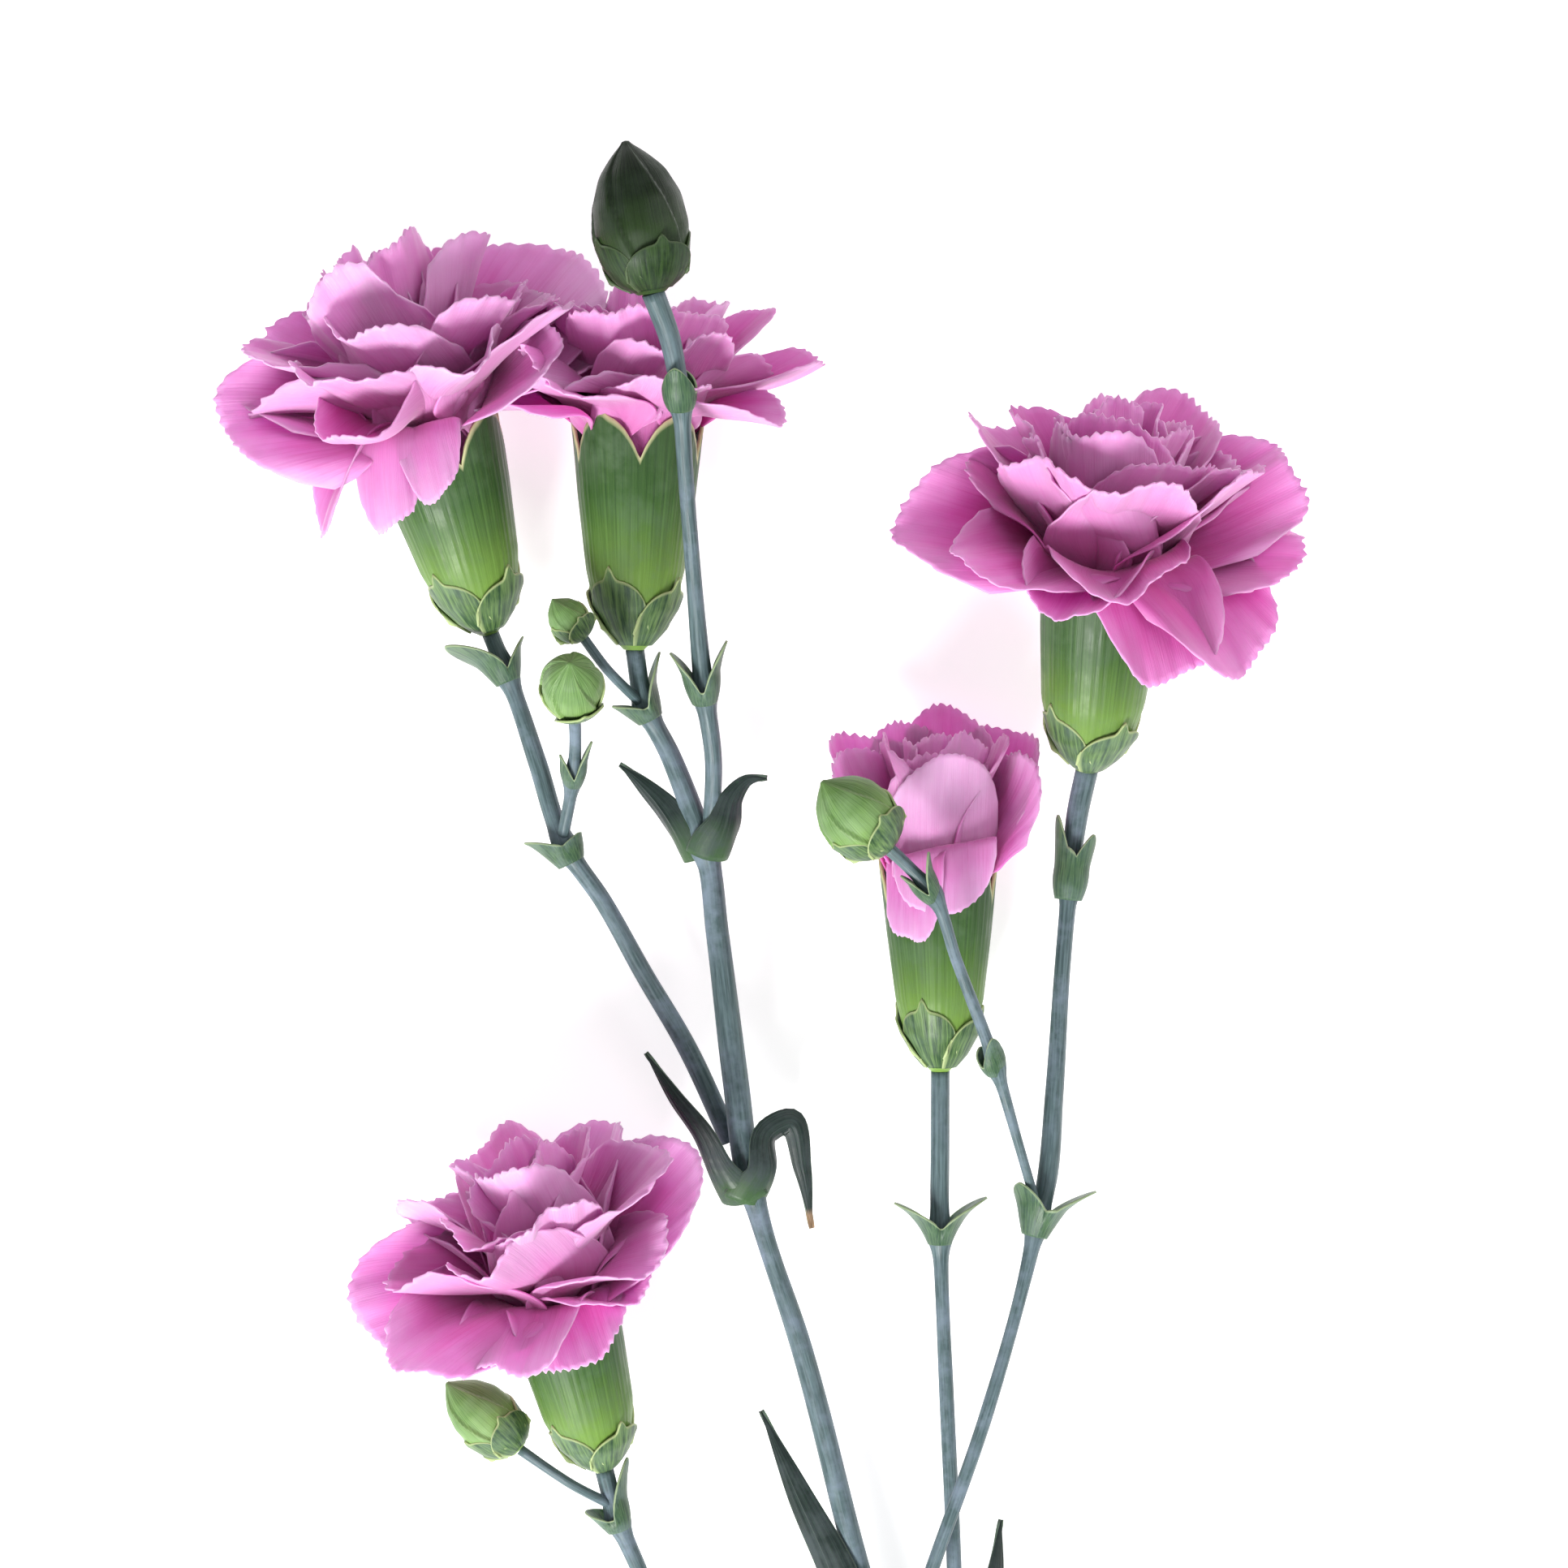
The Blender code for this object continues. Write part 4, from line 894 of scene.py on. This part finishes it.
def petal_sheet(
    rng, length, width, throat, lean, droop, bend, cup, ruffle, busy=1.0, curl=0.0, twist=0.0, depth=6.0,
    widens=0.66, starts=-1.5,
):
    """Local millimetres of a petal at azimuth 0, which starts depth below the calyx's mouth and throat out
    from the axis. Along the midline the angle from the axis grows from near 0 to lean over bend
    millimetres, which begin at starts above the mouth, then by droop towards the margin. The place is the
    running sum of its sine and cosine. The petal has its full width from the share widens of its length.
    Offsets along the normal are a cup (the square of the distance across), a sum of sines across that grows
    to the margin, and a curl of the last part. All of it is turned about the midline by twist degrees."""
    length, twist = length + depth, math.radians(twist)
    t = np.linspace(0.0, 1.0, PETAL_ROWS)[:, None] ** 0.9
    v = np.linspace(-1.0, 1.0, PETAL_COLUMNS)[None, :]
    phases = rng.uniform(0.0, 2 * np.pi, 10)
    limb = smooth_step((t - 0.10) / (widens - 0.10))
    half = 0.5 * width * (0.20 + 0.80 * limb)
    lobes = 0.035 * np.sin(2.3 * v + phases[0]) + 0.02 * np.sin(5.1 * v + phases[1])
    tooth = rng.uniform(0.2, 1.0, PETAL_COLUMNS) * np.resize(TOOTH_PATTERN, PETAL_COLUMNS)
    teeth = TOOTH_LENGTH * min(ruffle, 1.0) * tooth[None, :] * np.clip((t - 0.9) / 0.1, 0.0, 1.0) ** 1.5
    rounding = 1.0 - limb * (0.17 * v**2 + 0.24 * np.abs(v) ** 4) + limb * lobes
    reach = length * t * rounding + teeth
    x = half * v * (1.0 - 0.12 * np.abs(v) ** 3 * limb)
    # The midline, sampled finely and read off at each point's own reach.
    fine = np.linspace(0.0, MIDLINE_REACH, MIDLINE_STEPS)
    angle = lean * smooth_step((fine * length - depth - starts) / bend) + 4.0 * fine
    angle = np.radians(angle + droop * np.clip((fine - 0.5) / 0.5, 0.0, 1.2) ** 1.5)
    step = length * MIDLINE_REACH / (MIDLINE_STEPS - 1)
    out = throat + np.cumsum(np.sin(angle)) * step
    up = np.cumsum(np.cos(angle)) * step
    at = np.clip(reach / length, 0.0, MIDLINE_REACH)
    tilt, out, up = (np.interp(at, fine, values) for values in (angle, out, up))
    wave = (
        np.sin(1.15 * np.pi * busy * v + phases[2] + 0.8 * t)
        + 0.45 * np.sin(2.1 * np.pi * busy * v + phases[3] - 1.2 * t)
        + 0.15 * np.sin(4.1 * np.pi * busy * v + phases[4]) * t**2
        + 0.10 * np.sin(9.0 * np.pi * v + phases[8]) * t**6
    )
    crumple = np.sin(2.2 * v + 3.4 * t + phases[5]) * np.sin(4.2 * t + phases[6])
    off = cup * half * v**2 * limb + ruffle * wave * limb * t**1.6 + 0.45 * ruffle * crumple * limb * t
    off = off + curl * np.clip((t - 0.62) / 0.38, 0.0, 1.0) ** 2
    off = off + 0.035 * np.sin(34.0 * v) * limb * (1.0 - t)
    side = x + 0.15 * ruffle * t**2 * np.sin(2.4 * np.pi * busy * v + phases[7])
    turned = side * np.cos(twist * t) - off * np.sin(twist * t)
    off = off * np.cos(twist * t) + side * np.sin(twist * t)
    away = out - off * np.cos(tilt)
    rise = up + off * np.sin(tilt)
    local = np.stack([turned, -away, rise - depth], axis=-1)
    return local, {"along": on_grid(t, x.shape), "across": on_grid(v, x.shape)}


def build_petal(flower_name, kind, index, azimuth, tone, slant=0.0, **form):
    """A petal of this form, turned to its azimuth in degrees. slant lifts its right side and lowers its
    left, in millimetres per millimetre, and tone says how pale it is."""
    shape = FLOWERS[flower_name]
    local, marks = petal_sheet(np.random.default_rng(1000 * index + len(flower_name)), **form)
    x, y, z = np.moveaxis(local, -1, 0)
    angle = math.radians(azimuth)
    turned = np.stack([
        x * math.cos(angle) - y * math.sin(angle),
        x * math.sin(angle) + y * math.cos(angle),
        z + slant * x + shape["calyx"][0] - MOUTH_BELOW_RIM,
    ], axis=-1)
    marks["tone"] = on_grid(tone, turned.shape)
    points = above_table(into_place(turned.reshape(-1, 3), shape))
    name = f"{flower_name}_{kind}_petal_{index:02d}"
    mesh = make_mesh(name, points, [grid_faces(PETAL_ROWS, PETAL_COLUMNS)], marks)
    stands_for = [f"{flower_name}_{kind}_petals"]
    return place_piece(name, mesh, [under_petal, upper_petal], stands_for, PETAL_WALL, 1)


print("petal grid:", PETAL_ROWS, "by", PETAL_COLUMNS)

# %% [markdown]
# ### Whorls
#
# Petals stand in rings. Each ring is given by how many petals it has and what they measure, and each petal
# departs a little from its ring. The outermost petals make the flower's outline, so every one of them is
# listed with numbers of its own.

# %% Rings of petals for each flower
# Kind, count, first azimuth, length, width, lean, droop, bend, cup, ruffle, busy, throat.
RINGS = {
    "left_flower": [
        ("outer", 6, 20, 19, 21, 62, 4, 9, 0.32, 1.5, 0.9, 5.2),
        ("inner", 6, 50, 22, 20, 48, 8, 11, 0.35, 1.4, 0.9, 3.8),
        ("inner", 6, 15, 23.5, 18, 30, 0, 13, 0.45, 1.4, 1, 2.4),
        ("inner", 4, 40, 23, 15, 10, 0, 13, 0.55, 1.3, 1.2, 1),
    ],
    "middle_flower": [
        ("outer", 5, 30, 16.5, 18, 58, 8, 9, 0.2, 1.4, 1, 4.6),
        ("inner", 5, 55, 17.5, 17, 34, 0, 11, 0.38, 1.3, 1, 3),
        ("inner", 4, 10, 17, 14, 14, 0, 11, 0.5, 1.2, 1.1, 1.4),
    ],
    "right_flower": [
        ("outer", 6, 10, 19.5, 22, 66, 2, 9, 0.32, 1.5, 0.9, 5),
        ("inner", 7, 35, 21, 20, 50, -4, 11, 0.42, 1.3, 0.9, 3.8),
        ("inner", 6, 5, 21.5, 18, 34, -12, 12, 0.55, 1.3, 1, 2.4),
        ("inner", 4, 30, 21.5, 15, 12, -5, 12, 0.65, 1.3, 1.2, 1),
    ],
    "half_open_flower": [
        ("outer", 4, 90, 17, 15, 14, -10, 14, 0.45, 0.8, 0.9, 4),
        ("inner", 5, 60, 17, 13, 8, -6, 14, 0.5, 1, 1, 2.4),
    ],
    "low_flower": [
        ("outer", 6, 50, 18, 20, 62, 4, 9, 0.3, 1.4, 0.9, 4.2),
        ("inner", 6, 15, 21, 19, 46, 8, 10, 0.38, 1.3, 0.9, 3),
        ("inner", 5, 45, 21.5, 16, 22, 0, 12, 0.55, 1.3, 1.1, 1.4),
    ],
}
# The outermost petals, one by one, with these numbers.
OUTERMOST_NUMBERS = (
    "azimuth", "length", "width", "lean", "droop", "bend", "cup", "ruffle", "throat", "tone", "twist",
)
OUTERMOST = {
    "left_flower": [
        (64, 17, 18, 64, -14, 7, 0.22, 0.5, 6.4, 1, 32), (-2, 15, 9.5, 138, 14, 11, -0.1, 0.4, 6.2, 0.8, 0),
        (-24, 18, 10, 146, 12, 12, -0.15, 0.6, 6.4, 0.9, -10),
        (-52, 18, 8, 122, 20, 9, 0.3, 0.6, 6.2, 0.4, 0), (-30, 17, 16, 98, -45, 9, 0.8, 0.8, 5, 0.2, 0),
        (-78, 20.5, 24, 70, 8, 8, 0.2, 0.8, 6.2, 1, -46), (-104, 21, 23, 52, 6, 9, 0.2, 1.1, 6, 0.8, -36),
        (-148, 19, 22, 66, 10, 8, 0.2, 1.3, 6.2, 0.5, 0), (175, 19, 24, 72, 10, 8, 0.2, 1.4, 6.2, 0.5, 0),
        (142, 21, 23, 62, 6, 9, 0.15, 1.3, 6.2, 0.5, 12), (116, 24.5, 27, 54, 0, 10, 0.1, 1.2, 5.8, 1, 36),
        (92, 17, 18, 78, 0, 7, 0.25, 0.9, 6.2, 0.6, 16),
    ],
    "middle_flower": [
        (84, 20, 13, 74, -22, 9, 0.3, 0.7, 6, 0.5, 18), (104, 20, 8.5, 36, 10, 9, 0.4, 0.4, 5, 0.4, 30),
        (58, 15, 14, 90, 0, 7, 0.3, 0.8, 6.2, 0.6, 14), (14, 13, 16, 76, -8, 7, 0.3, 0.8, 6.4, 0.5, 0),
        (-34, 14, 17, 78, -4, 7, 0.25, 0.9, 6.4, 0.6, -10),
        (-78, 14.5, 17, 84, 0, 7, 0.2, 0.9, 6.2, 0.9, -26),
        (-135, 16, 18, 74, 8, 8, 0.15, 1.2, 6.2, 0.5, 0), (172, 17, 18, 72, 8, 8, 0.15, 1.2, 6.2, 0.5, 0),
        (135, 17, 18, 62, 8, 8, 0.15, 1.2, 6.2, 0.5, 0),
    ],
    "right_flower": [
        (-86, 21, 25, 74, 4, 8, 0.2, 1.1, 6, 1, -36), (-46, 18.5, 21, 86, -14, 8, 0.35, 0.9, 6.2, 0.9, -14),
        (-16, 17, 17, 96, -14, 8, 0.4, 0.8, 6, 0.8, 0), (6, 18, 19, 84, -14, 9, 0.35, 0.9, 5.6, 0.6, 6),
        (22, 21, 18, 124, 8, 11, 0.05, 0.8, 6.4, 0.4, 6),
        (46, 21.5, 20, 112, 12, 10, 0.05, 0.9, 6.4, 0.3, 14),
        (76, 18.5, 20, 80, 2, 8, 0.25, 1, 6.2, 0.4, 22), (100, 23, 22, 54, 2, 9, 0.2, 1.2, 5.8, 0.9, 32),
        (138, 19, 22, 68, 8, 8, 0.15, 1.3, 6.2, 0.5, 10), (178, 18, 23, 74, 8, 8, 0.15, 1.3, 6.2, 0.5, 0),
        (-136, 19.5, 23, 66, 8, 8, 0.15, 1.3, 6.2, 0.5, -10),
    ],
    "half_open_flower": [
        (-84, 17, 17, 34, -26, 12, 0.2, 0.8, 5.6, 0.6, -44),
        (86, 15, 17.5, 33, -22, 12, 0.2, 0.8, 5.6, 0.5, 44),
        (-118, 19, 18, 32, -30, 12, 0.35, 0.9, 5.4, 0.4, -22),
        (118, 18.5, 19, 30, -26, 12, 0.35, 0.8, 5.4, 0.3, 22),
        (168, 19.8, 18, 16, -14, 12, 0.35, 0.8, 5.2, 0.3, 0),
        (-152, 18.5, 16, 22, -20, 12, 0.4, 0.9, 5.4, 0.5, 0),
    ],
    "low_flower": [
        (-82, 21, 23, 78, 10, 8, 0.18, 0.9, 5.4, 1, -34), (-52, 19.5, 22, 88, 6, 8, 0.2, 1, 5.4, 0.9, -18),
        (-22, 17, 18, 102, 4, 9, 0.2, 0.9, 5.4, 0.7, 0), (8, 15, 16, 112, 2, 9, 0.15, 0.9, 5.4, 0.5, 0),
        (34, 13, 15, 84, -8, 8, 0.25, 0.8, 5.2, 0.4, 0), (86, 21, 23, 50, 0, 9, 0.22, 0.7, 5.2, 0.8, 30),
        (135, 19, 22, 60, 8, 9, 0.2, 1, 5.2, 0.5, 10), (180, 18, 22, 72, 10, 8, 0.15, 1.2, 5.4, 0.5, 0),
        (-130, 19, 22, 66, 10, 8, 0.15, 1.2, 5.4, 0.6, -10),
    ],
}
# The half-open flower's front: one petal stands, and two hang over the rim with a sharp fold. They have four
# more numbers.
FRONT_NUMBERS = (*OUTERMOST_NUMBERS, "depth", "widens", "starts", "slant")
HALF_OPEN_FRONT = [
    (7, 15.2, 15.6, 10, -4, 12, 0.34, 0.45, 6, 0.9, 0, 4, 0.5, -1.5, 0),
    (4, 13.6, 14.5, 172, 0, 4.2, -0.1, 0.4, 6.1, 0.8, 0, 3, 0.46, 2.4, 0.2),
    (-22, 15, 8.5, 172, 0, 4, -0.05, 0.4, 6.1, 0.6, 0, 3, 0.5, 1.4, 0.1),
]
# For each flower: how many degrees more upright its rings stand on the side that faces the viewer, and how
# pale it is as a whole, as a share of its petals' own tones.
FRONT_LIFT_AND_PALENESS = {
    "left_flower": (14.0, 1.0), "middle_flower": (0.0, 0.45), "right_flower": (30.0, 0.25),
    "half_open_flower": (0.0, 0.75), "low_flower": (14.0, 0.7),
}

for flower_name, rings in RINGS.items():
    index, (front_lift, paleness) = 0, FRONT_LIFT_AND_PALENESS[flower_name]
    rng = np.random.default_rng(len(flower_name) * 7 + 3)
    for kind, count, first, length, width, lean, droop, bend, cup, ruffle, busy, throat in rings:
        for place in range(count):
            spread = rng.uniform(-1.0, 1.0, 8)
            azimuth = first + 360.0 * place / count + 10.0 * spread[0]
            lift = front_lift * max(0.0, math.cos(math.radians(azimuth)))
            build_petal(
                flower_name, kind, index, azimuth, tone=paleness * float(rng.uniform(0.0, 1.0)),
                length=length * (1.0 + 0.08 * spread[1]), width=width * (1.0 + 0.10 * spread[2]),
                lean=max(lean - lift, 4.0) + 9.0 * spread[3], droop=droop * (1.0 + 0.8 * spread[7]),
                bend=bend, cup=cup, ruffle=ruffle * (1.0 + 0.2 * spread[4]), busy=busy,
                curl=0.8 * spread[5], twist=10.0 * spread[6], throat=throat,
            )
            index += 1
    singles = [dict(zip(OUTERMOST_NUMBERS, numbers)) for numbers in OUTERMOST[flower_name]]
    for single in singles:
        single["tone"] *= paleness
    if flower_name == "half_open_flower":
        singles += [dict(zip(FRONT_NUMBERS, numbers)) for numbers in HALF_OPEN_FRONT]
    for single in singles:
        build_petal(flower_name, "outer", index, **single)
        index += 1
    print(flower_name, "petals:", index)

# %% [markdown]
# ## Table, light and camera
#
# The spray lies on a plain white table under a soft key light and a weaker fill light, with the camera
# straight above it. The table glows a little, so that it stays white where the light falls off. The standard
# view transform keeps the pinks and greens as strong as the materials give them. A long lens keeps the petals
# near the camera from looking larger than they are.

# %% The table top
TABLE_HALF = 3.0
TABLE_WHITE = (0.93, 0.93, 0.93, 1.0)
TABLE_GLOW = 0.55
corners = [(x * TABLE_HALF, y * TABLE_HALF, 0.0) for x, y in ((-1, -1), (1, -1), (1, 1), (-1, 1))]
table_mesh = bpy.data.meshes.new("table_top")
table_mesh.from_pydata(corners, [], [(0, 1, 2, 3)])
table_top = bpy.data.objects.new("table_top", table_mesh)
bpy.context.scene.collection.objects.link(table_top)
table_white, _, table_shader = start_material("table_white", 0.7, Emission_Strength=TABLE_GLOW)
table_shader.inputs["Base Color"].default_value = TABLE_WHITE
table_shader.inputs["Emission Color"].default_value = (1.0, 1.0, 1.0, 1.0)
table_mesh.materials.append(table_white)
print("table half width:", TABLE_HALF)


# %% Lights
def area_light(name, place, size, power):
    """A square light in metres and watts, turned towards the flowers."""
    data = bpy.data.lights.new(name, "AREA")
    data.shape = "SQUARE"
    data.size = size
    data.energy = power
    lamp = bpy.data.objects.new(name, data)
    lamp.location = place
    lamp.rotation_euler = (LIT_PLACE - Vector(place)).to_track_quat("-Z", "Y").to_euler()
    bpy.context.scene.collection.objects.link(lamp)


LIT_PLACE = Vector((0.0, 0.06, 0.01))
area_light("key_light", place=(-0.40, -0.75, 0.70), size=0.40, power=18.0)
area_light("fill_light", place=(0.8, 0.3, 0.7), size=0.8, power=4.0)
world = bpy.data.worlds.new("studio")
world.use_nodes = True
world_light = world.node_tree.nodes["Background"]
world_light.inputs["Color"].default_value = (1.0, 1.0, 1.0, 1.0)
world_light.inputs["Strength"].default_value = 0.42
bpy.context.scene.world = world
bpy.context.scene.view_settings.view_transform = "Standard"
print("lights:", len(bpy.data.lights))

# %% Camera
LENS, SENSOR = 100.0, 36.0
SEEN_WIDTH = 0.1932
SEEN_MIDDLE = (0.00148, 0.0696)
SEEN_HEIGHT = 0.015
camera_data = bpy.data.cameras.new("camera")
camera_data.lens = LENS
camera_data.sensor_width = SENSOR
camera_data.clip_start = 0.01
camera = bpy.data.objects.new("camera", camera_data)
camera.location = (*SEEN_MIDDLE, SEEN_HEIGHT + SEEN_WIDTH * LENS / SENSOR)
bpy.context.scene.collection.objects.link(camera)
bpy.context.scene.camera = camera
print("camera height:", round(camera.location.z, 3))
